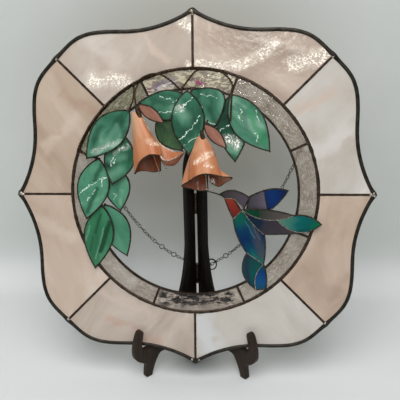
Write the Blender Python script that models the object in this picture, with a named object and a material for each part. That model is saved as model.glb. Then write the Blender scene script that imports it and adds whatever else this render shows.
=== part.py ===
"""Stained glass suncatcher on a folding plate easel.

Metres, +Z up, picture side towards -Y. The panel is modelled flat in its own frame
(x right, y up the panel, z towards the viewer, origin at the panel's centre) and an empty
leans it back into the hooks of the easel. The easel's two boards open from a vertical
hinge line. At the end everything is shifted so that the origin is the bottom centre of
the whole object's box.
"""

import math
from collections import namedtuple

import bmesh
import bpy
from mathutils import Euler, Matrix, Vector
from mathutils.geometry import intersect_line_line_2d

MM = 0.001
GAP = 0.3 * MM  # clear space kept between two pieces that touch

# Panel: driving dimensions
TIP_RADIUS = 203.5 * MM  # centre to the rim's centreline at each of the four points
OCTANT = [  # rim centreline over one octant: distance along the side, distance from centre
    (0.0, TIP_RADIUS),
    (13 * MM, 196.5 * MM),
    (30 * MM, 189.5 * MM),
    (50 * MM, 184.2 * MM),
    (70 * MM, 182.0 * MM),
    (98 * MM, 181.8 * MM),
    (118 * MM, 179.2 * MM),
    (134.5 * MM, 171.5 * MM),
    (153.7 * MM, 153.7 * MM),
]
RIM_WIDTH = 4.6 * MM
RIM_DEPTH = 6.4 * MM
SEAM_OUTER_RADIUS = 141.5 * MM  # centreline of the seam between border and ring
SEAM_INNER_RADIUS = 119.5 * MM  # centreline of the seam round the opening
RING_TWIST = math.radians(-1.9)  # the ring's dividers sit a little off the mid-spoke lines
DIVIDER_START = math.radians(22.5) + RING_TWIST
SEAM_WIDTH = 3.0 * MM
INNER_SEAM_WIDTH = 2.6 * MM
SEAM_DEPTH = 4.6 * MM
SPOKE_DEPTH = 4.4 * MM
GLASS = 3.0 * MM
TIP_BLOB = 0.55  # how much the rim swells at its points and corner joints
BLOB_REACH = 5 * MM

# Applied work: each layer of leaves, feathers and petals lies one step in front of the last
FOIL_WIDTH = 2.2 * MM
FOIL_DEPTH = 3.2 * MM
THIN_GLASS = 2.2 * MM
LAYER_STEP = 3.0 * MM
FIRST_LAYER = SEAM_DEPTH / 2 + GAP + FOIL_DEPTH / 2

# Easel
BOARD = 7 * MM
HALF_ANGLE = math.radians(45)
BOARD_REAR = 1.8 * MM  # hinge line to the boards' rear edges
UPRIGHT_DEPTH = 14 * MM
UPRIGHT_TOP = 275 * MM
NOTCH_FLOOR = 40 * MM
NOTCH_FORWARD = 51.5 * MM  # hinge line to the middle of the panel's rim, where it stands
PANEL_LEAN = math.radians(10.2)
RIM_BOTTOM = 187.0 * MM  # panel centre down to the rim's underside over the hooks
# Curves of one board's side, in millimetres: distance from the hinge line, height
FOOT_ARCH = [(15.5, 2), (19, 11), (28, 18), (42, 23.5), (54, 26), (63, 25.5), (70, 15.5), (75, 4)]
FRONT_FOOT = [(75.5, 0.8), (76.3, 0), (83.7, 0), (85.2, 2)]
HOOK = [(84.5, 10), (84, 18.5), (89, 22.5), (94.5, 26.5), (98.8, 32), (100, 38), (99.8, 44),
        (98.4, 52), (96, 59), (93.6, 64.5), (90.5, 67), (87, 66.5), (85.4, 63), (86.5, 58),
        (88.2, 50), (88.6, 43)]
THROAT = [(66, 46), (55, 54), (42, 66), (31, 82), (23.4, 101), (18.2, 122), (15.2, 142)]
HINGE_HEIGHTS = {"easel_hinge_upper": 205 * MM, "easel_hinge_lower": 112 * MM}
HINGE_LENGTH = 26 * MM
KNUCKLE_RADIUS = 1.5 * MM

# Chain
CHAIN_WIRE = 3.0 * MM
CATENARY = 84.35 * MM
HALF_STARTS = {-1: 1.7 * MM, 1: 39.08 * MM}  # how far up its catenary each half-chain starts
HALF_STEPS = {-1: 36, 1: 33}
RING_PLACE = 17.5 * MM  # the ring has slid this far to the viewer's right
RING_RADIUS = 7.2 * MM
RING_WIRE = 1.0 * MM
WEAVE = 3.1 * MM  # the chain passes this far to each side of the ring's plane
LOOP_RADIUS = 4.0 * MM
LOOP_WIRE = 0.9 * MM

# name: base colour, roughness, metallic, transmission
MATERIALS = {
    "opal_glass": ((0.62, 0.52, 0.46), 0.2, 0.0, 0.15),
    "ripple_glass": ((0.75, 0.74, 0.70), 0.08, 0.0, 0.9),
    "green_glass": ((0.06, 0.26, 0.13), 0.15, 0.0, 0.3),
    "peach_glass": ((0.70, 0.33, 0.17), 0.2, 0.0, 0.2),
    "rose_glass": ((0.40, 0.22, 0.18), 0.2, 0.0, 0.2),
    "slate_glass": ((0.13, 0.11, 0.16), 0.2, 0.0, 0.2),
    "red_glass": ((0.42, 0.04, 0.02), 0.15, 0.0, 0.3),
    "blue_glass": ((0.02, 0.11, 0.26), 0.15, 0.0, 0.3),
    "teal_glass": ((0.02, 0.20, 0.24), 0.15, 0.0, 0.3),
    "solder": ((0.07, 0.055, 0.04), 0.4, 0.9, 0.0),
    "vine_copper": ((0.16, 0.12, 0.07), 0.45, 0.9, 0.0),
    "chain_steel": ((0.42, 0.40, 0.37), 0.3, 1.0, 0.0),
    "dark_wood": ((0.022, 0.014, 0.010), 0.35, 0.0, 0.0),
    "hinge_brass": ((0.20, 0.15, 0.08), 0.4, 0.9, 0.0),
}

# Leaves: from stalk end to point in millimetres on the panel, full width, how far the
# middle bows to the left of that line, and the layer it lies in
Leaf = namedtuple("Leaf", "name base tip width bow layer")
LEFT_LEAVES = [
    Leaf("leaf_left_1", (-70.4, 95.4), (-119.8, 43.2), 36, -1.0, 4),
    Leaf("leaf_left_2", (-77.4, 67.6), (-92.2, 13.7), 34, 1.0, 3),
    Leaf("leaf_left_3", (-107.5, 41.4), (-124.1, -27.1), 36, 0.0, 2),
    Leaf("leaf_left_4", (-93.4, 34.2), (-85.2, -18.1), 30, 1.0, 1),
    Leaf("leaf_left_5", (-106.7, -13.5), (-117.1, -86.6), 34, 0.0, 1),
    Leaf("leaf_left_6", (-104.0, -12.6), (-79.7, -72.5), 32, 1.0, 0),
]
TOP_LEAVES = [
    Leaf("leaf_top_1", (-6.0, 110.0), (-58.9, 105.1), 32, 6.5, 2),
    Leaf("leaf_top_2", (-5.9, 116.7), (-4.4, 47.2), 36, 0.0, 3),
    Leaf("leaf_top_3", (-1.0, 117.5), (24.5, 77.5), 38, 8.0, 2),
    Leaf("leaf_top_4", (41.3, 110.9), (47.0, 38.7), 34, 0.0, 1),
    Leaf("leaf_top_5", (42.4, 112.0), (85.3, 50.2), 36, -2.0, 2),
    Leaf("leaf_top_6", (-40.0, 86.0), (-13.0, 51.0), 27, 0.0, 1),
]
LEAF_STEPS = 6

# Flowers, in millimetres on the panel with height in front of it: a bell from its calyx
# to the middle of its mouth
Flower = namedtuple("Flower", "name calyx mouth radius front back sepal stem")
FLOWERS = [
    Flower(
        "flower_left",
        calyx=(-60.5, 99, 21),
        mouth=(-41, 46, 26),
        radius=21,
        front=0.86,
        back=1.16,
        sepal=((-57.0, 99.3, 17), (-31.5, 83.5, 17), 8.5),
        stem=[(-61, 124.5, 5.5), (-63.5, 117, 12), (-62.5, 108, 18), (-60.5, 98, 21)],
    ),
    Flower(
        "flower_centre",
        calyx=(11, 72, 21),
        mouth=(15.5, 22, 26),
        radius=22,
        front=0.92,
        back=1.22,
        sepal=((12.8, 77.0, 17.5), (37.0, 55.5, 17.5), 9.5),
        stem=[(16.8, 84.5, 10.3), (15, 80.5, 13), (11.8, 74, 19.5)],
    ),
]
PETALS = {"front": (-52, 52), "right": (52, 180), "left": (180, 308)}  # degrees from front
PETAL_ARCH = {"front": 0.13, "right": -0.03, "left": -0.03}
PETAL_FLARE = {"front": 0.0, "right": 0.26, "left": 0.18}
PETAL_ROWS = 5
PETAL_COLUMNS = 6
CALYX_RADIUS = 3.6 * MM
CALYX_SHARE = 0.13  # share of the bell's length under the calyx wrap
PANE_START = 0.19
LIP_SHARE = 0.072  # kept for the foil round the mouth

# Hummingbird: corners in millimetres on the panel; each pane lists (corner, bulge) going
# anticlockwise, the bulge being the rise of that edge's arc away from the pane
BIRD_POINTS = {
    "beak_top": (31.0, 1.0),
    "crown": (46.0, 5.0),
    "nape": (63.0, -3.0),
    "shoulder": (57.0, -16.5),
    "cheek": (45.5, -4.2),
    "beak_low": (35.5, -3.6),
    "wing_root": (54.0, -18.5),
    "breast": (45.4, -27.5),
    "waist": (61.0, -67.5),
    "rump": (80.0, -81.0),
    "hip": (80.5, -44.5),
    "tail_mid": (71.5, -111.0),
    "tail_end": (83.0, -110.0),
    "far_low": (60.5, -18.5),
    "far_split_low": (84.5, -18.0),
    "far_split_top": (79.7, 4.4),
    "far_low_end": (90.0, -15.5),
    "far_tip": (107.0, 4.4),
    "near_root": (55.5, -16.9),
    "near_cross": (95.0, -28.0),
    "near_notch": (113.0, -23.2),
    "near_tip": (144.3, -33.2),
    "near_under": (129.0, -41.9),
    "near_hip": (79.5, -44.6),
}
BirdPane = namedtuple("BirdPane", "name material edges layer")
BIRD_PANES = [
    BirdPane("bird_head", "slate_glass", [
        ("beak_top", 0), ("beak_low", 0), ("cheek", -0.8), ("shoulder", 0), ("nape", 1.0),
        ("crown", 1.6)], 1),
    BirdPane("bird_throat", "red_glass", [
        ("beak_low", 0.6), ("breast", 0), ("wing_root", 0), ("cheek", 0)], 1),
    BirdPane("bird_body", "blue_glass", [
        ("breast", 3.2), ("waist", 0), ("rump", 1.6), ("hip", 1.5), ("wing_root", 0)], 1),
    BirdPane("bird_tail_left", "teal_glass", [
        ("waist", 10.0), ("tail_mid", -4.6), ("rump", 0)], 1),
    BirdPane("bird_tail_right", "blue_glass", [
        ("tail_mid", 0.8), ("tail_end", 2.0), ("rump", 4.6)], 1),
    BirdPane("bird_far_wing_inner", "slate_glass", [
        ("nape", 0), ("far_low", 0), ("far_split_low", 0), ("far_split_top", 0.5)], 0),
    BirdPane("bird_far_wing_outer", "blue_glass", [
        ("far_split_low", 0), ("far_low_end", 1.0), ("far_tip", 2.2), ("far_split_top", 0)], 0),
    BirdPane("bird_near_wing_top", "teal_glass", [
        ("near_root", 4.0), ("near_cross", 0.5), ("near_notch", 3.2)], 2),
    BirdPane("bird_near_wing_middle", "slate_glass", [
        ("near_root", 1.5), ("near_hip", 1.0), ("near_under", -5.2), ("near_cross", -4.0)], 2),
    BirdPane("bird_near_wing_tip", "teal_glass", [
        ("near_cross", 5.2), ("near_under", 0.6), ("near_tip", 4.2), ("near_notch", -0.5)], 2),
]
BIRD_OUTLINES = [  # of the panes in each layer together
    [("nape", 0), ("far_low", 0), ("far_split_low", 0), ("far_low_end", 1.0), ("far_tip", 2.2),
     ("far_split_top", 0.5)],
    [("beak_top", 0), ("beak_low", 0.6), ("breast", 3.2), ("waist", 10.0), ("tail_mid", 0.8),
     ("tail_end", 2.0), ("rump", 1.6), ("hip", 1.5), ("wing_root", 0), ("shoulder", 0),
     ("nape", 1.0), ("crown", 1.6)],
    [("near_root", 1.5), ("near_hip", 1.0), ("near_under", 0.6), ("near_tip", 4.2),
     ("near_notch", 3.2)],
]
BIRD_BASE = 4.2 * MM - LAYER_STEP  # the far wing lies inside the opening
BEAK = [(32.6, -0.9), (13.8, 4.4)]
BEAK_RADII = (1.3 * MM, 0.5 * MM)

# Vine: wires over the ring's outer seam and the stems, millimetres on the panel and height
VINE_RADIUS = 1.0 * MM
VINE_SPAN = (-69.5, 14.0)  # degrees from the top, clockwise, where it follows the seam
VINE_ARCHES = [
    [(-64, 126, 3.6), (-54.4, 132.3, 6), (-44.3, 135.4, 9), (-35.5, 134.8, 10),
     (-27.8, 130.9, 11), (-19.1, 123.8, 12), (-11, 116.5, 13)],
    [(-12.5, 118.0, 13), (-4.7, 128.5, 9), (2.0, 137.1, 5), (9, 141.0, 3.6)],
    [(30, 138.2, 3.6), (38, 132, 6), (43.6, 124, 9), (43.2, 113, 10.2), (42, 84.8, 10.2)],
    [(-66, 124.5, 3.6), (-65.5, 114, 9), (-66, 106, 14.5), (-69.5, 97, 16.6)],
]


# ---------------------------------------------------------------- plain geometry


def clockwise(angle, radius):
    """Point at an angle measured clockwise from the top of the panel."""
    return Vector((radius * math.sin(angle), radius * math.cos(angle)))


def smooth_curve(points, steps, closed=False):
    """Catmull-Rom curve through points, with so many steps between each pair."""
    points = [Vector(p) for p in points]
    count = len(points)
    curve = []
    for i in range(count if closed else count - 1):
        before = points[i - 1] if closed or i else points[0]
        start, end = points[i], points[(i + 1) % count]
        after = points[(i + 2) % count] if closed or i + 2 < count else points[-1]
        for k in range(steps):
            t = k / steps
            curve.append(0.5 * (2 * start + (end - before) * t
                                + (2 * before - 5 * start + 4 * end - after) * t * t
                                + (3 * start - before - 3 * end + after) * t ** 3))
    if not closed:
        curve.append(points[-1])
    return curve


def arc_to(start, end, rise, steps):
    """Points of an arc from start up to, not including, end, rising to the right of it."""
    start, end = Vector(start), Vector(end)
    side = Vector((end.y - start.y, start.x - end.x)).normalized()
    if abs(rise) < 1e-9:
        return [start]
    points = []
    for k in range(steps):
        t = k / steps
        points.append(start.lerp(end, t) + side * rise * 4 * t * (1 - t))
    return points


def inset(loop, distance):
    """An anticlockwise loop moved inwards by distance, with its mitres kept short."""
    moved = []
    count = len(loop)
    for i, point in enumerate(loop):
        into = (point - loop[i - 1]).normalized()
        out = (loop[(i + 1) % count] - point).normalized()
        normal = Vector((-into.y - out.y, into.x + out.x)).normalized()
        half = max(normal.dot(Vector((-into.y, into.x))), 0.34 if distance < 0 else 0.08)
        moved.append(point + normal * distance / half)
    return without_crossings(moved) if distance > 0 else moved


def without_crossings(loop):
    """The loop with the crossed ends that an inset leaves at sharp corners cut off."""
    count = len(loop)
    for skip in (2, 3, 4):
        for i in range(count):
            ends = [loop[(i + k) % count] for k in (0, 1, skip, skip + 1)]
            meeting = intersect_line_line_2d(*ends)
            if meeting:
                kept = [loop[(i + skip + 1 + k) % count] for k in range(count - skip)]
                return without_crossings(kept + [meeting])
    return loop


def prism(loop, low, high):
    """Closed slab over an anticlockwise loop, from height low to high."""
    mesh = bmesh.new()
    bottom = [mesh.verts.new((p.x, p.y, low)) for p in loop]
    top = [mesh.verts.new((p.x, p.y, high)) for p in loop]
    mesh.faces.new(reversed(bottom))
    mesh.faces.new(top)
    for i in range(len(loop)):
        mesh.faces.new((bottom[i - 1], bottom[i], top[i], top[i - 1]))
    return mesh


def band(loop, half_width, middle, depth):
    """Closed strip of rectangular section along a loop."""
    mesh = bmesh.new()
    rings = []
    for edge, height in ((-1, -1), (1, -1), (1, 1), (-1, 1)):
        level = middle + height * depth / 2
        rings.append([mesh.verts.new((p.x, p.y, level)) for p in inset(loop, edge * half_width)])
    for a in range(4):
        for i in range(len(loop)):
            near, far = rings[a], rings[(a + 1) % 4]
            mesh.faces.new((near[i - 1], near[i], far[i], far[i - 1]))
    bmesh.ops.recalc_face_normals(mesh, faces=mesh.faces)
    return mesh


def sweep(points, radius, sides=6, closed=False):
    """Round tube along 3-D points; radius is one value or one for each point."""
    points = [Vector(p) for p in points]
    count = len(points)
    radii = list(radius) if isinstance(radius, (list, tuple)) else [radius] * count
    mesh = bmesh.new()
    rings = []
    frames = []
    for i in range(count + 1 if closed else count):
        before = points[i - 1] if closed or i else points[0]
        after = points[(i + 1) % count] if closed or i + 1 < count else points[-1]
        along = (after - before).normalized()
        normal = frames[-1][0] if frames else along.orthogonal()
        normal = (normal - along * normal.dot(along)).normalized()
        frames.append((normal, along.cross(normal)))
    for point, wide, (normal, side) in zip(points, radii, frames):
        rings.append([mesh.verts.new(point + wide * (normal * math.cos(a) + side * math.sin(a)))
                      for a in (math.tau * k / sides for k in range(sides))])
    for i in range(count if closed else count - 1):
        near, far = rings[i], rings[(i + 1) % count]
        turn = 0
        if closed and i == count - 1:  # the frame has turned on its way round
            normal, side = frames[0]
            turned = math.atan2(frames[-1][0].dot(side), frames[-1][0].dot(normal))
            turn = round(turned / math.tau * sides)
        for k in range(sides):
            mesh.faces.new((near[k], near[(k + 1) % sides],
                            far[(k + 1 + turn) % sides], far[(k + turn) % sides]))
    if not closed:
        mesh.faces.new(reversed(rings[0]))
        mesh.faces.new(rings[-1])
    bmesh.ops.recalc_face_normals(mesh, faces=mesh.faces)
    return mesh


def millimetres(points):
    return [Vector(p) * MM for p in points]


# ---------------------------------------------------------------- objects


def material(name):
    """The named finish, made once."""
    if name in bpy.data.materials:
        return bpy.data.materials[name]
    colour, roughness, metallic, transmission = MATERIALS[name]
    made = bpy.data.materials.new(name)
    made.use_nodes = True
    shader = made.node_tree.nodes["Principled BSDF"]
    shader.inputs["Base Color"].default_value = (*colour, 1)
    shader.inputs["Roughness"].default_value = roughness
    shader.inputs["Metallic"].default_value = metallic
    shader.inputs["Transmission Weight"].default_value = transmission
    made.diffuse_color = (*colour, 1)
    return made


def add(name, mesh, finish, parent):
    """A named object from a bmesh, shaded smooth except at its sharp edges."""
    data = bpy.data.meshes.new(name)
    mesh.to_mesh(data)
    mesh.free()
    data.materials.append(material(finish))
    data.shade_smooth()
    data.set_sharp_from_angle(angle=math.radians(35))
    made = bpy.data.objects.new(name, data)
    bpy.context.collection.objects.link(made)
    made.parent = parent
    return made


def combine(first, others, operation):
    """A bmesh of the first with each of the others joined to it or cut from it.

    The Boolean works at a thousand times the size, far above its smallest distances.
    """
    for other in others:
        helpers = []
        for mesh in (first, other):
            bmesh.ops.scale(mesh, vec=(1 / MM,) * 3, verts=mesh.verts)
            data = bpy.data.meshes.new("helper")
            mesh.to_mesh(data)
            mesh.free()
            helper = bpy.data.objects.new("helper", data)
            bpy.context.collection.objects.link(helper)
            helpers.append(helper)
        join = helpers[0].modifiers.new("join", "BOOLEAN")
        join.operation = operation
        join.solver = "EXACT"
        join.object = helpers[1]
        graph = bpy.context.evaluated_depsgraph_get()
        result = bpy.data.meshes.new_from_object(helpers[0].evaluated_get(graph))
        first = bmesh.new()
        first.from_mesh(result)
        bmesh.ops.scale(first, vec=(MM,) * 3, verts=first.verts)
        for helper in helpers:
            bpy.data.objects.remove(helper)
    bmesh.ops.remove_doubles(first, verts=first.verts, dist=0.002 * MM)
    return first


# ---------------------------------------------------------------- panel


def rim_outline():
    """Centreline of the rim, anticlockwise from the top."""
    octant = [Vector(p) for p in OCTANT]
    quarter = octant + [Vector((p.y, p.x)) for p in reversed(octant[:-1])]
    side = smooth_curve(quarter, 2)[:-1]
    outline = []
    for turn in range(4):
        angle = turn * math.pi / 2
        outline += [Matrix.Rotation(angle, 2) @ Vector((-p.x, p.y)) for p in side]
    return outline


def rim_came(outline, parent):
    """Rim strip with soldered swellings at its points and corners, and two loops behind."""
    corner = Vector(OCTANT[-1]).length
    stations = [clockwise(k * math.pi / 4, corner if k % 2 else TIP_RADIUS) for k in range(8)]
    section = [(0.5, 0), (0.3, 0.5), (-0.3, 0.5), (-0.5, 0), (-0.3, -0.5), (0.3, -0.5)]
    mesh = bmesh.new()
    edge = inset(outline, 1.0)
    rows = []
    for point, inner in zip(outline, edge):
        near = min((point - station).length for station in stations)
        swell = TIP_BLOB * math.exp(-((near / BLOB_REACH) ** 2))
        inward = (inner - point).normalized()
        row = []
        for n, w in section:  # the solder swells outwards and in depth, clear of the panes
            across = n * RIM_WIDTH * (1 + swell if n < 0 else 1)
            depth = w * RIM_DEPTH * (1 + 0.4 * swell)
            row.append(mesh.verts.new((*(point + inward * across), depth)))
        rows.append(row)
    for i in range(len(rows)):
        for k in range(len(section)):
            near, far = rows[i - 1], rows[i]
            mesh.faces.new((near[k - 1], near[k], far[k], far[k - 1]))
    bmesh.ops.recalc_face_normals(mesh, faces=mesh.faces)
    loops = []
    for side in (-1, 1):
        x, y = side * OCTANT[-1][0], OCTANT[-1][1]
        ring = [(x, y + LOOP_RADIUS * math.cos(a), -RIM_DEPTH / 2 - LOOP_RADIUS * (0.8 + math.sin(a)))
                for a in (math.tau * k / 10 for k in range(10))]
        loops.append(sweep(ring, LOOP_WIRE, sides=5, closed=True))
    add("rim_came", combine(mesh, loops, "UNION"), "solder", parent)


def border_panes(outline, parent):
    """Eight opal panes between the spokes, inside the rim."""
    octant_steps = len(outline) // 8
    rim_side = inset(outline, (RIM_WIDTH - SEAM_WIDTH) / 2)
    for k in range(8):
        outer = [rim_side[(k * octant_steps + i) % len(outline)] for i in range(octant_steps + 1)]
        inner = [clockwise(-math.pi / 4 * (k + 1 - i / 8), SEAM_OUTER_RADIUS) for i in range(9)]
        loop = inset(outer + inner, SEAM_WIDTH / 2 + GAP)
        add(f"border_glass_{k + 1}", prism(loop, -GLASS / 2, GLASS / 2), "opal_glass", parent)


def ring_sector(k, clearance):
    """Outline of one ring pane, anticlockwise, set in from its seams' centrelines."""
    start = DIVIDER_START + k * math.pi / 4
    angles = [start + math.pi / 4 * i / 8 for i in range(9)]
    loop = [clockwise(a, SEAM_INNER_RADIUS) for a in angles]
    loop += [clockwise(a, SEAM_OUTER_RADIUS) for a in reversed(angles)]
    return inset(loop, clearance)


def ring_panes(parent):
    for k in range(8):
        mesh = prism(ring_sector(k, SEAM_WIDTH / 2 + GAP), -GLASS / 2, GLASS / 2)
        add(f"ring_glass_{k + 1}", mesh, "ripple_glass", parent)


def seam_web(parent):
    """Solder lines of the flat panel: two circles, eight dividers and eight spokes."""
    steps = 48
    half = SEAM_DEPTH / 2
    disc = [clockwise(-math.tau * i / steps, SEAM_OUTER_RADIUS + SEAM_WIDTH / 2) for i in range(steps)]
    hole = [clockwise(-math.tau * i / steps, SEAM_INNER_RADIUS - INNER_SEAM_WIDTH / 2)
            for i in range(steps)]
    cutters = [prism(hole, -2 * half, 2 * half)]
    cutters += [prism(ring_sector(k, SEAM_WIDTH / 2), -2 * half, 2 * half) for k in range(8)]
    web = combine(prism(disc, -half, half), cutters, "DIFFERENCE")
    spokes = []
    for k in range(8):
        end = Vector(OCTANT[-1]).length - RIM_WIDTH if k % 2 else TIP_RADIUS - 1.4 * RIM_WIDTH
        turn = Matrix.Rotation(-k * math.pi / 4, 2)
        w = SEAM_WIDTH / 2
        corners = [(-w, SEAM_OUTER_RADIUS), (w, SEAM_OUTER_RADIUS), (w, end), (-w, end)]
        spokes.append(prism([turn @ Vector(c) for c in corners], -SPOKE_DEPTH / 2, SPOKE_DEPTH / 2))
    add("seam_web", combine(web, spokes, "UNION"), "solder", parent)


# ---------------------------------------------------------------- applied work


def layer_height(layer):
    return FIRST_LAYER + (layer - 1) * LAYER_STEP


def leaf_outline(leaf):
    """Pointed leaf, anticlockwise, widest a little above its middle."""
    base, tip = millimetres((leaf.base, leaf.tip))
    along = tip - base
    left = Vector((-along.y, along.x)).normalized()
    half = leaf.width * MM / 2
    sides = []
    for side in (-1, 1):
        steps = range(LEAF_STEPS) if side < 0 else range(LEAF_STEPS, 0, -1)
        for k in steps:
            s = k / LEAF_STEPS
            swell = math.sin(math.pi * s ** 0.88) ** 0.9 if 0 < s < 1 else 0.0
            bow = leaf.bow * MM * 4 * s * (1 - s)
            sides.append(base + along * s + left * (bow + side * half * swell))
    return sides


def leaf_spray(leaves, seam_name, parent):
    """Leaf panes, and the foil seams round them joined where they cross."""
    bands = []
    for i, leaf in enumerate(leaves):
        loop = leaf_outline(leaf)
        level = layer_height(leaf.layer)
        pane = prism(inset(loop, FOIL_WIDTH / 2 + GAP), level - THIN_GLASS / 2, level + THIN_GLASS / 2)
        add(leaf.name, pane, "green_glass", parent)
        bands.append(band(loop, FOIL_WIDTH / 2, level, FOIL_DEPTH))
    add(seam_name, combine(bands[0], bands[1:], "UNION"), "solder", parent)


class Bell:
    """The shape of one trumpet flower: where a point of its wall is."""

    def __init__(self, flower):
        self.calyx, self.mouth = millimetres((flower.calyx, flower.mouth))
        self.axis = self.mouth - self.calyx
        down = self.axis.normalized()
        self.front = (Vector((0, 0, 1)) - down * down.z).normalized()
        self.right = self.front.cross(down) * -1
        self.radius = flower.radius * MM
        self.reach = (flower.front, flower.back)

    def length(self, angle, petal=None, across=0.5):
        """Share of the axis that the wall reaches at an angle from the front."""
        front, back = self.reach
        share = front + (back - front) * (1 - math.cos(angle)) / 2
        if petal:
            share -= PETAL_ARCH[petal] * 4 * across * (1 - across)
        return share

    def point(self, angle, share, inside=0.0, flare=0.0):
        radius = CALYX_RADIUS + (self.radius - CALYX_RADIUS) * share ** 1.25
        radius += self.radius * flare * share ** 5 - inside
        out = self.front * math.cos(angle) + self.right * math.sin(angle)
        return self.calyx + self.axis * share + out * radius


def petal_pane(bell, petal):
    """One bent pane of a bell, clear of the seams on both sides and of the lip's foil."""
    first, last = (math.radians(a) for a in PETALS[petal])
    mesh = bmesh.new()
    skins = []
    for inside in (0.0, THIN_GLASS):
        rows = []
        for i in range(PETAL_ROWS):
            row = []
            for j in range(PETAL_COLUMNS):
                t = j / (PETAL_COLUMNS - 1)
                wide = bell.length(first + (last - first) * t, petal, t)
                share = PANE_START + (wide - LIP_SHARE - PANE_START) * i / (PETAL_ROWS - 1)
                radius = CALYX_RADIUS + (bell.radius - CALYX_RADIUS) * share ** 1.25 - THIN_GLASS
                clear = min(1.75 * MM / radius, (last - first) * 0.42)
                angle = first + clear + (last - first - 2 * clear) * t
                flare = PETAL_FLARE[petal] * math.sin(math.pi * t)
                row.append(mesh.verts.new(bell.point(angle, share, inside, flare)))
            rows.append(row)
        skins.append(rows)
    outer, inner = skins
    for i in range(PETAL_ROWS - 1):
        for j in range(PETAL_COLUMNS - 1):
            for rows in skins:
                mesh.faces.new((rows[i][j], rows[i][j + 1], rows[i + 1][j + 1], rows[i + 1][j]))
    for a, b in edge_pairs(outer, inner):
        mesh.faces.new((a[0], a[1], b[1], b[0]))
    bmesh.ops.recalc_face_normals(mesh, faces=mesh.faces)
    return mesh


def edge_pairs(outer, inner):
    """Matching border edges of two grids, to close the wall between them."""
    rows, columns = len(outer), len(outer[0])
    border = [(0, j, 0, j + 1) for j in range(columns - 1)]
    border += [(rows - 1, j, rows - 1, j + 1) for j in range(columns - 1)]
    border += [(i, 0, i + 1, 0) for i in range(rows - 1)]
    border += [(i, columns - 1, i + 1, columns - 1) for i in range(rows - 1)]
    for a, b, c, d in border:
        yield (outer[a][b], outer[c][d]), (inner[a][b], inner[c][d])


def flower_parts(flower, parent):
    """Petal panes, the sepal pane, and the joined seams, lip foil, calyx and stem."""
    bell = Bell(flower)
    middle = THIN_GLASS / 2
    for petal in PETALS:
        add(f"{flower.name}_petal_{petal}", petal_pane(bell, petal), "peach_glass", parent)
    tubes = []
    lip = []
    for petal, limits in PETALS.items():
        first, last = (math.radians(a) for a in limits)
        seam = [bell.point(first, bell.length(first) * k / 4, middle) for k in range(5)]
        tubes.append(sweep(seam, 1.1 * MM, sides=5))
        for j in range(PETAL_COLUMNS - 1):
            t = j / (PETAL_COLUMNS - 1)
            angle = first + (last - first) * t
            flare = PETAL_FLARE[petal] * math.sin(math.pi * t)
            lip.append(bell.point(angle, bell.length(angle, petal, t), middle, flare))
    tubes.append(sweep(lip, 1.0 * MM, sides=5, closed=True))
    wrap = [bell.calyx + bell.axis * share for share in (-0.09, 0.0, CALYX_SHARE)]
    tubes.append(sweep(wrap, [2 * MM, 4 * MM, 4.9 * MM], sides=8))
    tubes.append(sweep(smooth_curve(millimetres(flower.stem), 2), VINE_RADIUS))
    start, end, width = flower.sepal
    level = start[2] * MM
    loop = leaf_outline(Leaf("", start[:2], end[:2], width, 0.0, 0))
    pane = prism(inset(loop, 1.0 * MM + GAP), level - THIN_GLASS / 2, level + THIN_GLASS / 2)
    add(f"{flower.name}_sepal", pane, "rose_glass", parent)
    tubes.append(band(loop, 1.0 * MM, level, FOIL_DEPTH))
    add(f"{flower.name}_seams", combine(tubes[0], tubes[1:], "UNION"), "solder", parent)


def bird_loop(edges):
    """Outline through the bird's named corners, anticlockwise, each edge an arc."""
    loop = []
    for i, (corner, bulge) in enumerate(edges):
        following = edges[(i + 1) % len(edges)][0]
        start, end = millimetres((BIRD_POINTS[corner], BIRD_POINTS[following]))
        loop += arc_to(start, end, bulge * MM, 4)
    return loop


def hummingbird(parent):
    """Bird panes in three layers, and their seams joined with the beak."""
    layers = []
    for layer, outline in enumerate(BIRD_OUTLINES):
        level = BIRD_BASE + layer * LAYER_STEP
        low, high = level - FOIL_DEPTH / 2, level + FOIL_DEPTH / 2
        openings = []
        for pane in BIRD_PANES:
            if pane.layer == layer:
                loop = bird_loop(pane.edges)
                glass = prism(inset(loop, FOIL_WIDTH / 2 + GAP),
                              level - THIN_GLASS / 2, level + THIN_GLASS / 2)
                add(pane.name, glass, pane.material, parent)
                openings.append(prism(inset(loop, FOIL_WIDTH / 2), 2 * low - high, 2 * high - low))
        slab = prism(inset(bird_loop(outline), -FOIL_WIDTH / 2), low, high)
        layers.append(combine(slab, openings, "DIFFERENCE"))
    beak = [Vector((x * MM, y * MM, BIRD_BASE + LAYER_STEP)) for x, y in BEAK]
    layers.append(sweep(beak, BEAK_RADII))
    add("bird_seams", combine(layers[1], [layers[0], *layers[2:]], "UNION"), "solder", parent)


def vine_wire(parent):
    """Wire over the ring's outer seam with the arches that leave it."""
    first, last = (math.radians(a) for a in VINE_SPAN)
    level = SEAM_DEPTH / 2 + GAP + VINE_RADIUS
    steps = 20
    run = [(*clockwise(first + (last - first) * k / steps, SEAM_OUTER_RADIUS), level)
           for k in range(steps + 1)]
    tubes = [sweep(run, VINE_RADIUS, sides=5)]
    for i, arch in enumerate(VINE_ARCHES):
        radius = VINE_RADIUS * (0.85 - 0.03 * i)
        tubes.append(sweep(smooth_curve(millimetres(arch), 2), radius, sides=5))
    add("vine_wire", combine(tubes[0], tubes[1:], "UNION"), "vine_copper", parent)


# ---------------------------------------------------------------- chain


def panel_matrix():
    """Where the panel's own frame stands in the easel's."""
    turn = Euler((math.pi / 2 - PANEL_LEAN, 0, 0)).to_matrix().to_4x4()
    foot = Vector((0, -NOTCH_FORWARD, NOTCH_FLOOR + GAP))
    return Matrix.Translation(foot + turn.to_3x3() @ Vector((0, RIM_BOTTOM, 0))) @ turn


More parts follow.
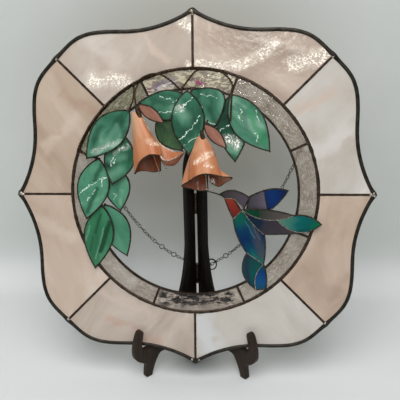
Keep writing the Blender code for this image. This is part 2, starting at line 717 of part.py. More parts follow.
def half_chain(side, loop):
    """One half-chain from the ring up to its loop, at equal steps but for a half one."""
    start, steps = HALF_STARTS[side], HALF_STEPS[side]
    top = loop.z - LOOP_RADIUS - LOOP_WIRE - GAP - CHAIN_WIRE / 2
    reach = loop.x - side * RING_PLACE + start
    low, slope = math.sinh(start / CATENARY), math.sinh(reach / CATENARY)
    points = []
    for k in (0, 0.5, *range(1, steps + 1)):
        along = CATENARY * math.asinh(low + (slope - low) * k / steps)
        x = side * (along - start)
        drop = CATENARY * (math.cosh(reach / CATENARY) - math.cosh(along / CATENARY))
        points.append(Vector((RING_PLACE + x, loop.y + WEAVE * math.tanh(x / WEAVE), top - drop)))
    return points


def chain_curve(placed):
    """Both half-chains as one curve from left to right, in the plane under the loops."""
    loop = placed @ Vector((OCTANT[-1][0], OCTANT[-1][1], -RIM_DEPTH / 2 - LOOP_RADIUS * 0.8))
    return half_chain(-1, loop)[::-1] + half_chain(1, loop)[1:]


def hanging_chain(placed, parent):
    points = chain_curve(placed)
    data = bpy.data.curves.new("hanging_chain", "CURVE")
    data.dimensions = "3D"
    data.bevel_depth = CHAIN_WIRE / 2
    data.bevel_resolution = 2
    data.use_fill_caps = True
    line = data.splines.new("POLY")
    line.points.add(len(points) - 1)
    for spot, point in zip(line.points, points):
        spot.co = (*point, 1)
    data.materials.append(material("chain_steel"))
    chain = bpy.data.objects.new("hanging_chain", data)
    bpy.context.collection.objects.link(chain)
    chain.parent = parent
    centre = min(points, key=lambda p: p.z)
    ring = [(RING_RADIUS * math.cos(a), 0, RING_RADIUS * math.sin(a))
            for a in (math.tau * k / 18 for k in range(18))]
    made = add("hanging_ring", sweep(ring, RING_WIRE, closed=True), "chain_steel", parent)
    made.location = centre


# ---------------------------------------------------------------- easel


def board_profile():
    """Side view of one board: distance from the hinge line, height."""
    profile = [Vector((BOARD_REAR, 0)), Vector((15 * MM, 0))]
    profile += smooth_curve(millimetres(FOOT_ARCH), 2)
    profile += millimetres(FRONT_FOOT)
    profile += smooth_curve(millimetres(HOOK), 2)
    profile += [Vector((88.2 * MM, NOTCH_FLOOR + 1.5 * MM)), Vector((86.8 * MM, NOTCH_FLOOR)),
                Vector((68.4 * MM, NOTCH_FLOOR)), Vector((67.4 * MM, NOTCH_FLOOR + 1 * MM))]
    profile += smooth_curve(millimetres(THROAT), 2)
    crown = 35 * MM
    width = UPRIGHT_DEPTH - BOARD_REAR
    profile += [Vector((UPRIGHT_DEPTH, 155 * MM))]
    profile += [Vector((BOARD_REAR + width * math.cos(a), UPRIGHT_TOP - crown + crown * math.sin(a)))
                for a in (math.pi / 2 * k / 7 for k in range(8))]
    return profile


def easel_board(side, parent):
    """One board, standing in a vertical plane that opens towards the viewer."""
    forward = Vector((side * math.sin(HALF_ANGLE), -math.cos(HALF_ANGLE), 0))
    outward = Vector((side * math.cos(HALF_ANGLE), math.sin(HALF_ANGLE), 0))
    mesh = bmesh.new()
    faces = []
    for level in (0.0, BOARD):
        faces.append([mesh.verts.new(forward * p.x + outward * level + Vector((0, 0, p.y)))
                      for p in board_profile()])
    inner, outer = faces
    mesh.faces.new(inner)
    mesh.faces.new(outer)
    for i in range(len(inner)):
        mesh.faces.new((inner[i - 1], inner[i], outer[i], outer[i - 1]))
    bmesh.ops.recalc_face_normals(mesh, faces=mesh.faces)
    board = add("easel_board_left" if side < 0 else "easel_board_right", mesh, "dark_wood", parent)
    bevel = board.modifiers.new("rounded_edges", "BEVEL")
    bevel.width = 0.9 * MM
    bevel.segments = 1
    bevel.limit_method = "ANGLE"
    bevel.angle_limit = math.radians(60)


def easel_hinge(name, middle, parent):
    """Knuckle on the hinge line and a leaf against each board's rear edge."""
    half = HINGE_LENGTH / 2
    knuckle = sweep([(0, 0, middle - half), (0, 0, middle + half)], KNUCKLE_RADIUS, sides=12)
    leaves = []
    for side in (-1, 1):
        forward = Vector((side * math.sin(HALF_ANGLE), -math.cos(HALF_ANGLE)))
        outward = Vector((side * math.cos(HALF_ANGLE), math.sin(HALF_ANGLE)))
        corners = [(0.5 * MM, 0.0), (1.5 * MM, 0.0), (1.5 * MM, BOARD - 0.5 * MM),
                   (0.5 * MM, BOARD - 0.5 * MM)]
        loop = [forward * h + outward * n for h, n in corners]
        if side < 0:
            loop.reverse()
        leaf = prism(loop, middle - half + 0.2 * MM, middle + half - 0.2 * MM)
        bmesh.ops.recalc_face_normals(leaf, faces=leaf.faces)
        leaves.append(leaf)
    add(name, combine(knuckle, leaves, "UNION"), "hinge_brass", parent)


# ---------------------------------------------------------------- assembly


def empty(name, parent=None):
    made = bpy.data.objects.new(name, None)
    bpy.context.collection.objects.link(made)
    made.parent = parent
    return made


def stand_on_origin(root):
    """Moves everything so that the origin is the bottom centre of the object's box."""
    graph = bpy.context.evaluated_depsgraph_get()
    corners = []
    for made in bpy.context.scene.objects:
        if made.type in ("MESH", "CURVE"):
            shown = made.evaluated_get(graph)
            mesh = shown.to_mesh()
            corners += [shown.matrix_world @ v.co for v in mesh.vertices]
            shown.to_mesh_clear()
    low = Vector([min(c[k] for c in corners) for k in range(3)])
    high = Vector([max(c[k] for c in corners) for k in range(3)])
    root.location = (-(low.x + high.x) / 2, -(low.y + high.y) / 2, -low.z)


def main():
    for made in list(bpy.data.objects):
        bpy.data.objects.remove(made)
    root = empty("suncatcher")
    panel = empty("panel", root)
    placed = panel_matrix()
    panel.matrix_local = placed
    outline = rim_outline()
    rim_came(outline, panel)
    border_panes(outline, panel)
    ring_panes(panel)
    seam_web(panel)
    leaf_spray(LEFT_LEAVES, "left_spray_seams", panel)
    leaf_spray(TOP_LEAVES, "top_spray_seams", panel)
    for flower in FLOWERS:
        flower_parts(flower, panel)
    hummingbird(panel)
    vine_wire(panel)
    hanging_chain(placed, root)
    for side in (-1, 1):
        easel_board(side, root)
    for name, middle in HINGE_HEIGHTS.items():
        easel_hinge(name, middle, root)
    stand_on_origin(root)
    bpy.context.view_layer.update()


main()
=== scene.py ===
"""Looks of the stained glass suncatcher: a leaded panel that rests on a folding wooden easel.

Metres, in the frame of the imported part: +Z up, the picture side towards -Y. The panel's
pieces are made flat, x to the right, y up the panel and z out of its picture side, and their
meshes are turned into place at the end. A pane's streaks run in a frame of its own.
"""

import sys
import logging
import math
from collections.abc import Callable, Iterable, Sequence
from dataclasses import dataclass, field, replace
from enum import Enum

import bmesh
import bpy
from mathutils import Euler, Matrix, Vector, noise


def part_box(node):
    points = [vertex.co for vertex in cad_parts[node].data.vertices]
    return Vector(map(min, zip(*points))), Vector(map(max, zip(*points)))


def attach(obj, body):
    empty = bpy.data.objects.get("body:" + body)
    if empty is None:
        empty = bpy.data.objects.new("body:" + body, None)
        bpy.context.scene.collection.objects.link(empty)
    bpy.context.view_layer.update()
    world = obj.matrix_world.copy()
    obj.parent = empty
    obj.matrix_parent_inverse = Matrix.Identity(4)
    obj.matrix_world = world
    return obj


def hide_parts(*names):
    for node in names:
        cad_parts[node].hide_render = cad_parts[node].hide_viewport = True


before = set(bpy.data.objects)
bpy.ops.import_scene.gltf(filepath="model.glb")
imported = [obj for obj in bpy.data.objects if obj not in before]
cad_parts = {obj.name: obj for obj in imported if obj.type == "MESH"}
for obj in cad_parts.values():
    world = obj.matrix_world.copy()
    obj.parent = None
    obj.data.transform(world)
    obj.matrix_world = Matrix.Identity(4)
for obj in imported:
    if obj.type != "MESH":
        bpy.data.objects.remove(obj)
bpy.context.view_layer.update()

LOG = logging.getLogger("suncatcher")

MM = 0.001
TIP_RADIUS = 203.5 * MM
CORNER = 153.7
OCTANT = [
    (0, 203.5), (13, 196.5), (30, 189.5), (50, 184.2), (70, 182), (98, 181.8), (118, 179.2),
    (134.5, 171.5), (CORNER, CORNER),
]
CORNER_RADIUS = math.hypot(CORNER, CORNER) * MM
RIM_WIDTH = 4.6 * MM
RIM_DEPTH = 6.4 * MM
SEAM_OUTER_RADIUS = 141.5 * MM
SEAM_INNER_RADIUS = 119.5 * MM
EIGHTH = math.pi / 4
DIVIDER_START = math.radians(22.5 - 1.9)
THIN_GLASS = 2.2 * MM
FOIL_DEPTH = 3.2 * MM
LAYER_STEP = 3.0 * MM
FIRST_LAYER = 4.2 * MM
FAR_WING = 1.2 * MM
LEAF_STEPS = 26
LEAF_DOME = 0.35 * MM
LEAN = math.radians(10.2)
SHARP = math.radians(40.0)
UP = Vector((0, 0, 1))

Colour = int
Flat = tuple[float, float]
Place = tuple[float, float, float]
Grid = Sequence[Sequence[Vector]]
Material = bpy.types.Material
Node = bpy.types.Node
Tree = bpy.types.NodeTree


class Slot(Enum):
    """Material slots of the record."""

    OPAL = "opal_glass"
    RIPPLE = "ripple_glass"
    GREEN = "green_glass"
    PEACH = "peach_glass"
    ROSE = "rose_glass"
    SLATE = "slate_glass"
    RED = "red_glass"
    BLUE = "blue_glass"
    TEAL = "teal_glass"
    SOLDER = "solder"
    VINE = "vine_copper"
    CHAIN = "chain_steel"
    WOOD = "dark_wood"
    BRASS = "hinge_brass"


class Side(Enum):
    """Left or right half of the easel."""

    LEFT = -1
    RIGHT = 1


class Effect(Enum):
    """Shared shader groups."""

    STREAKS = "glass_streaks"
    CRACKLE = "glass_crackle"
    MARK = "glass_mark"
    WAVES = "glass_waves"
    PATINA = "solder_patina"
    GRAIN = "wood_grain"


# ---- curves


def clockwise(angle: float, radius: float, height: float = 0.0) -> Vector:
    """Point of the panel at an angle clockwise from its top, and a height before its middle."""
    return Vector((radius * math.sin(angle), radius * math.cos(angle), height))


def millimetres(points: Iterable[Sequence[float]]) -> list[Vector]:
    """Points of two or three coordinates in millimetres, as vectors in metres."""
    return [Vector((*p, 0.0)[:3]) * MM for p in points]


def angles(count: int) -> list[float]:
    """Angles of equal steps round a circle."""
    return [math.tau * k / count for k in range(count)]


def heading(way: Vector) -> float:
    """Angle from up the panel to a direction, anticlockwise."""
    return math.atan2(way.y, way.x) - math.pi / 2


def direction(line: Sequence[Vector], i: int, closed: bool = False) -> Vector:
    """Direction of a line at one of its points.

    Args:
        line: Points of the line.
        i: Number of the point.
        closed: Whether the last point joins the first.

    Returns:
        The direction, of length one.
    """
    count = len(line)
    if closed:
        return (line[(i + 1) % count] - line[(i - 1) % count]).normalized()
    return (line[min(i + 1, count - 1)] - line[max(i - 1, 0)]).normalized()


def squared(angle: float, across: float, rise: float) -> Flat:
    """Cosine and sine of an angle, drawn from a circle towards a square by two powers."""
    x, y = math.cos(angle), math.sin(angle)
    return math.copysign(abs(x) ** across, x), math.copysign(abs(y) ** rise, y)


def smooth_curve(points: Sequence[Vector], steps: int) -> list[Vector]:
    """Catmull-Rom curve through points.

    Args:
        points: Points that the curve passes.
        steps: Steps between each pair of points.

    Returns:
        Points of the curve.
    """
    curve = []
    last = len(points) - 1
    for i in range(last):
        before, start = points[max(i - 1, 0)], points[i]
        end, after = points[i + 1], points[min(i + 2, last)]
        for t in (k / steps for k in range(steps)):
            curve.append(0.5 * (2 * start + (end - before) * t
                                + (2 * before - 5 * start + 4 * end - after) * t * t
                                + (3 * start - before - 3 * end + after) * t ** 3))
    return curve + [points[-1].copy()]


def even_steps(points: Sequence[Vector], step: float, closed: bool = False) -> list[Vector]:
    """The same line with points at equal distances along it.

    Args:
        points: Points of the line.
        step: Distance wanted between neighbours.
        closed: Whether the last point joins the first.

    Returns:
        The new points.
    """
    line = list(points) + ([points[0]] if closed else [])
    lengths = [0.0]
    for a, b in zip(line, line[1:]):
        lengths.append(lengths[-1] + (b - a).length)
    count = max(2, round(lengths[-1] / step))
    found = []
    i = 0
    for k in range(count if closed else count + 1):
        reach = lengths[-1] * k / count
        while i < len(line) - 2 and lengths[i + 1] < reach:
            i += 1
        span = lengths[i + 1] - lengths[i]
        found.append(line[i].lerp(line[i + 1], (reach - lengths[i]) / span if span else 0.0))
    return found


def arc_to(start: Vector, end: Vector, rise: float, steps: int) -> list[Vector]:
    """Shallow arc, rising to the right of its line, from start up to, not including, end."""
    side = Vector((end.y - start.y, start.x - end.x, 0.0)).normalized() * rise * 4
    return [start.lerp(end, t) + side * t * (1 - t) for t in (k / steps for k in range(steps))]


def lumps(point: Vector, size: float, seed: float) -> float:
    """Smooth unevenness from about -1 to 1 at a point, that changes over a size."""
    return noise.noise(point / size + Vector((seed * 17.3, seed * 5.1, -seed * 9.7)))


# ---- meshes


@dataclass
class Skin:
    """Points and faces gathered for one mesh."""

    points: list[Vector] = field(default_factory=list)  # Corner points
    faces: list[tuple[int, ...]] = field(default_factory=list)  # Corner numbers of each face
    marks: list[int] = field(default_factory=list)  # Number of the finish of each face

    def rows(self, grid: Grid) -> list[list[int]]:
        """Adds a grid of points.

        Args:
            grid: Rows of points.

        Returns:
            The points' numbers, laid out the same way.
        """
        numbers = []
        for row in grid:
            start = len(self.points)
            self.points += [Vector(p) for p in row]
            numbers.append(list(range(start, start + len(row))))
        return numbers

    def face(self, corners: Sequence[int], mark: int = 0) -> None:
        """Adds one face with the finish of a number."""
        self.faces.append(tuple(corners))
        self.marks.append(mark)

    def cover(self, numbers: Sequence[Sequence[int]], around: bool = False,
              mark: int = 0) -> None:
        """Faces between neighbouring points of numbered rows.

        Args:
            numbers: Rows of point numbers.
            around: Whether each row is a closed ring.
            mark: Number of the faces' finish.
        """
        wide = len(numbers[0])
        for near, far in zip(numbers, numbers[1:]):
            for k in range(wide if around else wide - 1):
                n = (k + 1) % wide
                self.face((near[k], near[n], far[n], far[k]), mark)

    def loft(self, grid: Grid, closed: bool = False, turn: int = 0) -> None:
        """Skin over rings of points, its ends filled or joined.

        Args:
            grid: The rings.
            closed: Whether the last ring joins the first.
            turn: Points by which the first ring is turned where it is joined.
        """
        numbers = self.rows(grid)
        if closed:
            self.cover([*numbers, numbers[0][turn:] + numbers[0][:turn]], around=True)
            return
        self.cover(numbers, around=True)
        self.face(numbers[0][::-1])
        self.face(numbers[-1])

    def slab(self, front: Grid, back: Grid, inside: int = 0) -> None:
        """Closed plate between two grids of points of the same layout.

        Args:
            front: Points of the front.
            back: Points of the back.
            inside: Number of the back's finish.
        """
        near, far = self.rows(front), self.rows(back)
        self.cover(near)
        self.cover(far, mark=inside)
        last, end = len(near) - 1, len(near[0]) - 1
        border = [(0, j) for j in range(end)] + [(i, end) for i in range(last)]
        border += [(last, j) for j in range(end, 0, -1)] + [(i, 0) for i in range(last, 0, -1)]
        for (a, b), (c, d) in zip(border, border[1:] + border[:1]):
            self.face((near[a][b], near[c][d], far[c][d], far[a][b]))

    def tube(self, path: Sequence[Vector], radius: float | Sequence[float], sides: int = 8,
             closed: bool = False) -> None:
        """Round tube along a path.

        Args:
            path: Points along its middle.
            radius: Its radius, or one for each point.
            sides: Corners round it.
            closed: Whether the path's end joins its start.
        """
        radii = radius if isinstance(radius, list) else [radius] * len(path)
        frames: list[tuple[Vector, Vector]] = []
        for i in range(len(path) + closed):
            tangent = direction(path, i, closed)
            normal = frames[-1][0] if frames else tangent.orthogonal()
            normal = (normal - tangent * normal.dot(tangent)).normalized()
            frames.append((normal, tangent.cross(normal)))
        (normal, side), (last, _) = frames[0], frames[-1]
        turned = math.atan2(last.dot(side), last.dot(normal))
        self.loft([[p + (n * math.cos(a) + s * math.sin(a)) * r for a in angles(sides)]
                   for p, r, (n, s) in zip(path, radii, frames)],
                  closed, round(turned / math.tau * sides) if closed else 0)

    def bead(self, path: Sequence[Vector], half_width: float, half_depth: float,
             closed: bool = False, lump: float = 0.1, seed: float = 0.0) -> None:
        """Bead of solder along a line on the panel, rounded and a little uneven.

        Args:
            path: Points along its middle.
            half_width: Half its width across the panel.
            half_depth: Half its depth through the panel.
            closed: Whether the path's end joins its start.
            lump: Share by which it swells and thins.
            seed: Picks the pattern of its swellings.
        """
        line = even_steps(path, max(0.8 * MM, half_width * 0.9), closed)
        grid = []
        for i, point in enumerate(line):
            along = direction(line, i, closed)
            side = Vector((along.y, -along.x, 0.0))
            side = side.normalized() if side.length > 0.05 else Vector((1.0, 0.0, 0.0))
            up = side.cross(along)
            if up.z < 0:
                side, up = -side, -up
            swell = 1 + lump * (lumps(point, 5 * MM, seed) + 0.6 * lumps(point, 1.8 * MM, seed + 2))
            end = 1.0 if closed or 0 < i < len(line) - 1 else 0.55
            grid.append([point + side * across * half_width * swell * end
                         + up * rise * half_depth * (0.5 + 0.5 * swell) * end
                         for across, rise in (squared(a, 0.8, 0.85) for a in angles(10))])
        self.loft(grid, closed)

    def drop(self, centre: Vector, radii: Sequence[float], lump: float = 0.08, seed: float = 0.0,
             turn: float = 0.0, fine: int = 9) -> None:
        """Rounded drop of solder.

        Args:
            centre: Its middle.
            radii: Half its width, height and depth in millimetres.
            lump: Share by which it is uneven.
            seed: Picks the unevenness.
            turn: Angle in radians that it is turned on the panel, anticlockwise.
            fine: Rings of faces from pole to pole.
        """
        spin = Matrix.Rotation(turn, 3, "Z")
        rings = []
        for tilt in (math.pi * i / fine for i in range(1, fine)):
            ways = [Vector((math.sin(tilt) * math.cos(a), math.sin(tilt) * math.sin(a),
                            math.cos(tilt))) for a in angles(fine * 2)]
            rings.append([centre + spin @ Vector([w * r * MM for w, r in zip(way, radii)])
                          * (1 + lump * lumps(way, 0.8, seed)) for way in ways])
        self.loft(rings)

    def mesh(self, name: str) -> bpy.types.Mesh:
        """Makes the mesh, its normals outwards.

        Args:
            name: Name of the mesh.

        Returns:
            The mesh.
        """
        data = bpy.data.meshes.new(name)
        data.from_pydata([tuple(p) for p in self.points], [], self.faces)
        data.polygons.foreach_set("material_index", self.marks)
        made = bmesh.new()
        made.from_mesh(data)
        bmesh.ops.remove_doubles(made, verts=made.verts, dist=1e-6)
        bmesh.ops.recalc_face_normals(made, faces=made.faces)
        made.to_mesh(data)
        made.free()
        data.shade_smooth()
        return data


def pane_skin(at: Callable[[int, int, int], Vector], rows: int, columns: int) -> Skin:
    """A pane between a front and a back of points.

    Args:
        at: Gives the point of a row, a column, and a face: 1 for the front, -1 for the back.
        rows: Rows of faces.
        columns: Columns of faces.

    Returns:
        Its shape.
    """
    skin = Skin()
    skin.slab(*([[at(j, i, face) for i in range(columns + 1)] for j in range(rows + 1)]
                for face in (1, -1)))
    return skin


def added(name: str, data: bpy.types.ID) -> bpy.types.Object:
    """Adds a mesh, light or camera to the scene.

    Args:
        name: Its name.
        data: What it shows.

    Returns:
        The object.
    """
    made = bpy.data.objects.new(name, data)
    bpy.context.scene.collection.objects.link(made)
    return made


@dataclass(frozen=True)
class Spot:
    """Where a pane's own frame is."""

    own: Matrix  # The frame on the panel
    whole: Matrix  # The frame in the part


@dataclass
class Bench:
    """Puts finished pieces in place on the part."""

    panel: Matrix  # Where the panel's own frame stands
    laid: list[str] = field(default_factory=list)  # Names of the pieces laid so far

    def frame(self, at: Vector, turn: float) -> Spot:
        """The frame of one pane, from its origin and its turn in radians, anticlockwise."""
        own = Matrix.Translation(at) @ Matrix.Rotation(turn, 4, "Z")
        return Spot(own, self.panel @ own)

    def lay(self, name: str, skin: Skin, finishes: Sequence[Material], slot: Slot,
            node: str, on_panel: bool = True) -> bpy.types.Object:
        """Makes one piece and lays it in place, standing for a node of the part.

        Args:
            name: Name of the piece.
            skin: Its shape, in the panel's frame or else in the part's.
            finishes: Its finishes, in the order of the skin's marks.
            slot: The record's slot for the piece; not used.
            node: Name of the node that it stands for.
            on_panel: Whether the skin is in the panel's frame.

        Returns:
            The piece.
        """
        if on_panel:
            skin.points = [self.panel @ p for p in skin.points]
        data = skin.mesh(name)
        for finish in finishes:
            data.materials.append(finish)
        data.set_sharp_from_angle(angle=SHARP)
        piece = added(name, data)
        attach(piece, "root")
        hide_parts(node)
        self.laid.append(name)
        LOG.info("%s: %d faces, stands for %s", name, len(data.polygons), node)
        return piece


# ---- finishes


def linear(colour: Colour) -> tuple[float, ...]:
    """Linear red, green, blue and alpha of a colour given as a screen shows it, 0xRRGGBB."""
    parts = [c / 255 for c in colour.to_bytes(3, "big")]
    return (*(c / 12.92 if c <= 0.04045 else ((c + 0.055) / 1.055) ** 2.4 for c in parts), 1.0)


Socket = bpy.types.NodeSocket
Value = Socket | float | Sequence[float]
Stops = tuple[tuple[float, Colour], ...]
HALF = (0.5, 0.5, 0.5)
FLAT = (1.0, 1.0, 0.0)
BLACK = (0.0, 0.0, 0.0, 1.0)


@dataclass(frozen=True)
class Wiring:
    """Adds and joins the nodes of one node tree."""

    tree: Tree  # The node tree

    def feed(self, node: Node, inputs: dict[int | str, Value]) -> None:
        """Joins or sets inputs of a node.

        Args:
            node: The node.
            inputs: Output sockets, numbers or vectors, by number or name of the input.
        """
        for key, value in inputs.items():
            if isinstance(value, Socket):
                self.tree.links.new(value, node.inputs[key])
            else:
                node.inputs[key].default_value = value

    def node(self, kind: str, inputs: dict[int | str, Value] | None = None,
             **settings: object) -> Node:
        """Adds a node.

        Args:
            kind: Type of the node, without its ShaderNode.
            inputs: What its inputs are fed with.
            **settings: Values of its properties.

        Returns:
            The node.
        """
        made = self.tree.nodes.new("ShaderNode" + kind)
        for name, value in settings.items():
            setattr(made, name, value)
        self.feed(made, inputs or {})
        return made

    def maths(self, operation: str, *values: Value, clamp: bool = False) -> Socket:
        """Result of a Math node, kept between 0 and 1 if clamped."""
        return self.node("Math", dict(enumerate(values)), operation=operation,
                         use_clamp=clamp).outputs[0]

    def vector(self, operation: str, *values: Value) -> Socket:
        """Vector from a Vector Math node."""
        return self.node("VectorMath", dict(enumerate(values)), operation=operation).outputs[0]

    def measure(self, operation: str, first: Value, second: Value) -> Socket:
        """Number from a Vector Math node."""
        return self.node("VectorMath", {0: first, 1: second}, operation=operation).outputs[1]

    def scaled(self, vector: Value, factor: Value) -> Socket:
        """A vector times a number."""
        return self.node("VectorMath", {0: vector, "Scale": factor}, operation="SCALE").outputs[0]

    def part(self, vector: Socket, axis: int) -> Socket:
        """One coordinate of a vector."""
        return self.node("SeparateXYZ", {0: vector}).outputs[axis]

    def noise(self, place: Value, scale: Value, detail: float = 3.0, rough: float = 0.5,
              colour: bool = False) -> Socket:
        """Noise at a place, as one value or three, with finer layers of a strength."""
        inputs = {"Vector": place, "Scale": scale, "Detail": detail, "Roughness": rough}
        return self.node("TexNoise", inputs).outputs[1 if colour else 0]

    def adrift(self, place: Socket, cloud: Socket, reach: Value) -> Socket:
        """A place moved by three values of a cloud, as far as a reach."""
        drift = self.vector("SUBTRACT", cloud, HALF)
        return self.vector("ADD", place, self.scaled(drift, reach))

    def step(self, value: Value, low: Value, high: Value) -> Socket:
        """Smooth step of a value from 0 at low to 1 at high."""
        return self.node("MapRange", {0: value, 1: low, 2: high},
                         interpolation_type="SMOOTHSTEP").outputs[0]

    def mixed(self, share: Value, first: Value, second: Value) -> Socket:
        """Mix of two colours, with a share of the second."""
        return self.node("Mix", {0: share, 6: first, 7: second}, data_type="RGBA").outputs[2]

    def bump(self, height: Socket, distance: float, invert: bool = False) -> Socket:
        """Normal of a surface whose unevenness is a distance high."""
        return self.node("Bump", {"Distance": distance, "Height": height},
                         invert=invert).outputs[0]

    def effect(self, kind: Effect, place: Socket, **values: Value) -> Node:
        """Group node of a shared effect, read at a place, with its other inputs' values."""
        return self.node("Group", {"Vector": place, **values}, node_tree=effect_group(kind))

    def ramp(self, value: Value, stops: Stops) -> Socket:
        """Colour from a ramp.

        Args:
            value: Place on the ramp.
            stops: Places and their colours.

        Returns:
            The output socket.
        """
        made = self.node("ValToRGB", {0: value})
        marks = made.color_ramp.elements
        while len(marks) < len(stops):
            marks.new(0.5)
        for mark, (place, colour) in zip(marks, stops):
            mark.position = place
            mark.color = linear(colour)
        return made.outputs[0]


class EffectMaker:
    """Builds the shared shader groups."""

    def __init__(self, kind: Effect) -> None:
        """Starts the group of a kind.

        Args:
            kind: Which group.
        """
        self.tree = bpy.data.node_groups.new(kind.value, "ShaderNodeTree")
        self.wiring = Wiring(self.tree)
        self.entry = self.tree.nodes.new("NodeGroupInput")
        self.exit = self.tree.nodes.new("NodeGroupOutput")

    def takes(self, numbers: str, places: str = "Vector") -> dict[str, Socket]:
        """Gives the group its inputs.

        Args:
            numbers: Names of the numbers that it takes.
            places: Names of the places that it takes.

        Returns:
            The sockets inside the group, by name.
        """
        for kind, names in (("NodeSocketVector", places), ("NodeSocketFloat", numbers)):
            for name in names.split():
                self.tree.interface.new_socket(name, in_out="INPUT", socket_type=kind)
        return dict(self.entry.outputs.items())

    def gives(self, **results: Socket) -> Tree:
        """Gives the group its outputs, each a number that changes over the surface.

        Args:
            **results: Names and sockets.

        Returns:
            The finished group.
        """
        for name in results:
            self.tree.interface.new_socket(name, in_out="OUTPUT", socket_type="NodeSocketFloat")
        for name, socket in results.items():
            self.tree.links.new(socket, self.exit.inputs[name])
        return self.tree

    def moved(self, place: Socket, seed: Socket, ways: Place = (1.0, 1.0, 1.0)) -> Socket:
        """A place moved as far as a seed says."""
        return self.wiring.vector("ADD", place, self.wiring.scaled(ways, seed))

    def sized(self, g: dict[str, Socket], axis: int = 1) -> Socket:
        """The place, finer by the group's scale, and stretched along an axis."""
        size = self.wiring.node("CombineXYZ", dict.fromkeys(range(3), g["Scale"]))
        self.wiring.feed(size, {axis: self.wiring.maths("DIVIDE", g["Scale"], g["Stretch"])})
        return self.wiring.vector("MULTIPLY", g["Vector"], size.outputs[0])

    def streaks(self) -> Tree:
        """Wispy colour that runs along a pane, with a drift from one end to the other."""
        w = self.wiring
        g = self.takes("Scale Stretch Warp Contrast Slope Middle Seed")
        place = self.moved(self.sized(g), g["Seed"], (1.0, 0.7, -1.3))
        place = w.adrift(place, w.noise(place, 0.6, 2.0, colour=True),
                         w.maths("MULTIPLY", g["Warp"], 3.0))
        value = w.maths("SUBTRACT", w.noise(place, 1.0, 5.0, 0.55), 0.5)
        value = w.maths("MULTIPLY_ADD", value, g["Contrast"], g["Middle"])
        return self.gives(Fac=w.maths("MULTIPLY_ADD", w.part(g["Vector"], 1), g["Slope"], value,
                                      clamp=True))

    def crackle(self) -> Tree:
        """Small jagged flakes and strokes, present in patches."""
        w = self.wiring
        g = self.takes("Scale Stretch Width Share Seed")
        place = self.moved(self.sized(g), g["Seed"], (1.0, 1.7, 1.0))
        off = w.maths("ABSOLUTE", w.maths("SUBTRACT", w.noise(place, 1.0, 3.0, 0.62), 0.5))
        thick = w.maths("MULTIPLY", g["Width"], w.step(w.noise(place, 0.8, 2.0), 0.36, 0.66))
        line = w.maths("SUBTRACT", 1.0, w.step(off, w.maths("MULTIPLY", thick, 0.4), thick))
        edge = w.maths("MULTIPLY_ADD", g["Share"], -0.5, 0.75)
        patch = w.step(w.noise(place, 0.22, 2.0), w.maths("SUBTRACT", edge, 0.05),
                       w.maths("ADD", edge, 0.05))
        return self.gives(Mask=w.maths("MULTIPLY", line, patch, clamp=True))

    def mark(self) -> Tree:
        """A streak, vein or patch along a line, with a wandering edge."""
        w = self.wiring
        g = self.takes("Width Soft Wander Fine Gaps Seed", "Vector Start End")
        flat = w.vector("MULTIPLY", g["Vector"], FLAT)
        place = self.moved(flat, g["Seed"], (1.0, 0.37, 1.0))
        flat = w.adrift(flat, w.noise(place, g["Fine"], 4.0, 0.62, colour=True),
                        w.maths("MULTIPLY", g["Wander"], 4.0))
        away = w.vector("SUBTRACT", w.vector("MULTIPLY", flat, FLAT), g["Start"])
        whole = w.vector("SUBTRACT", g["End"], g["Start"])
        share = w.maths("DIVIDE", w.measure("DOT_PRODUCT", away, whole),
                        w.measure("DOT_PRODUCT", whole, whole), clamp=True)
        far = w.measure("DISTANCE", away, w.scaled(whole, share))
        inner = w.maths("MULTIPLY", g["Width"], w.maths("SUBTRACT", 1.0, g["Soft"]))
        body = w.maths("SUBTRACT", 1.0, w.step(far, inner, g["Width"]))
        gap = w.noise(place, w.maths("MULTIPLY", g["Fine"], 1.1), 2.0)
        low = w.maths("MULTIPLY_ADD", g["Gaps"], 0.3, 0.28)
        whole_line = w.step(gap, low, w.maths("ADD", low, 0.12))
        return self.gives(Mask=w.maths("MULTIPLY", body, whole_line, clamp=True))

    def waves(self) -> Tree:
        """Height of a rolled, rippled or hammered surface."""
        w = self.wiring
        g = self.takes("Scale Stretch Hammer Seed")
        place = self.moved(self.sized(g), g["Seed"])
        bent = w.vector("MULTIPLY", w.noise(place, 1.3, 1.0, colour=True), (0.7, 0.7, 0.7))
        cells = w.node("TexVoronoi", feature="SMOOTH_F1")
        w.feed(cells, {"Vector": w.vector("ADD", place, bent), "Scale": 1.6})
        return self.gives(Height=w.node("Mix", {
            0: g["Hammer"], 2: w.noise(place, 1.0, 2.0, 0.45), 3: cells.outputs["Distance"],
        }).outputs[0])

    def patina(self) -> Tree:
        """Cloudy darkening of metal, how dull it is there, and its fine unevenness."""
        w = self.wiring
        g = self.takes("Scale Contrast Seed")
        place = self.moved(g["Vector"], g["Seed"])
        cloud = w.maths("SUBTRACT", w.noise(place, g["Scale"], 4.0, 0.6), 0.5)
        cloud = w.maths("MULTIPLY_ADD", cloud, g["Contrast"], 0.5, clamp=True)
        fine = w.noise(place, w.maths("MULTIPLY", g["Scale"], 4.0), 3.0, 0.6)
        dull = w.maths("MULTIPLY_ADD", fine, 0.5, w.maths("MULTIPLY", cloud, 0.5), clamp=True)
        return self.gives(Fac=cloud, Dull=dull, Height=fine)

    def grain(self) -> Tree:
        """Wood grain that runs along Z."""
        w = self.wiring
        g = self.takes("Scale Stretch Seed")
        place = self.moved(self.sized(g, axis=2), g["Seed"])
        fibre = w.noise(place, 2.2, 4.0, 0.65)
        rings = w.maths("FRACT", w.maths("MULTIPLY", w.noise(place, 0.35, 3.0, 0.5), 7.0))
        value = w.maths("MULTIPLY_ADD", rings, 0.45, w.maths("MULTIPLY", fibre, 0.6))
        return self.gives(Fac=w.maths("MINIMUM", value, 1.0), Pores=w.step(fibre, 0.52, 0.7))


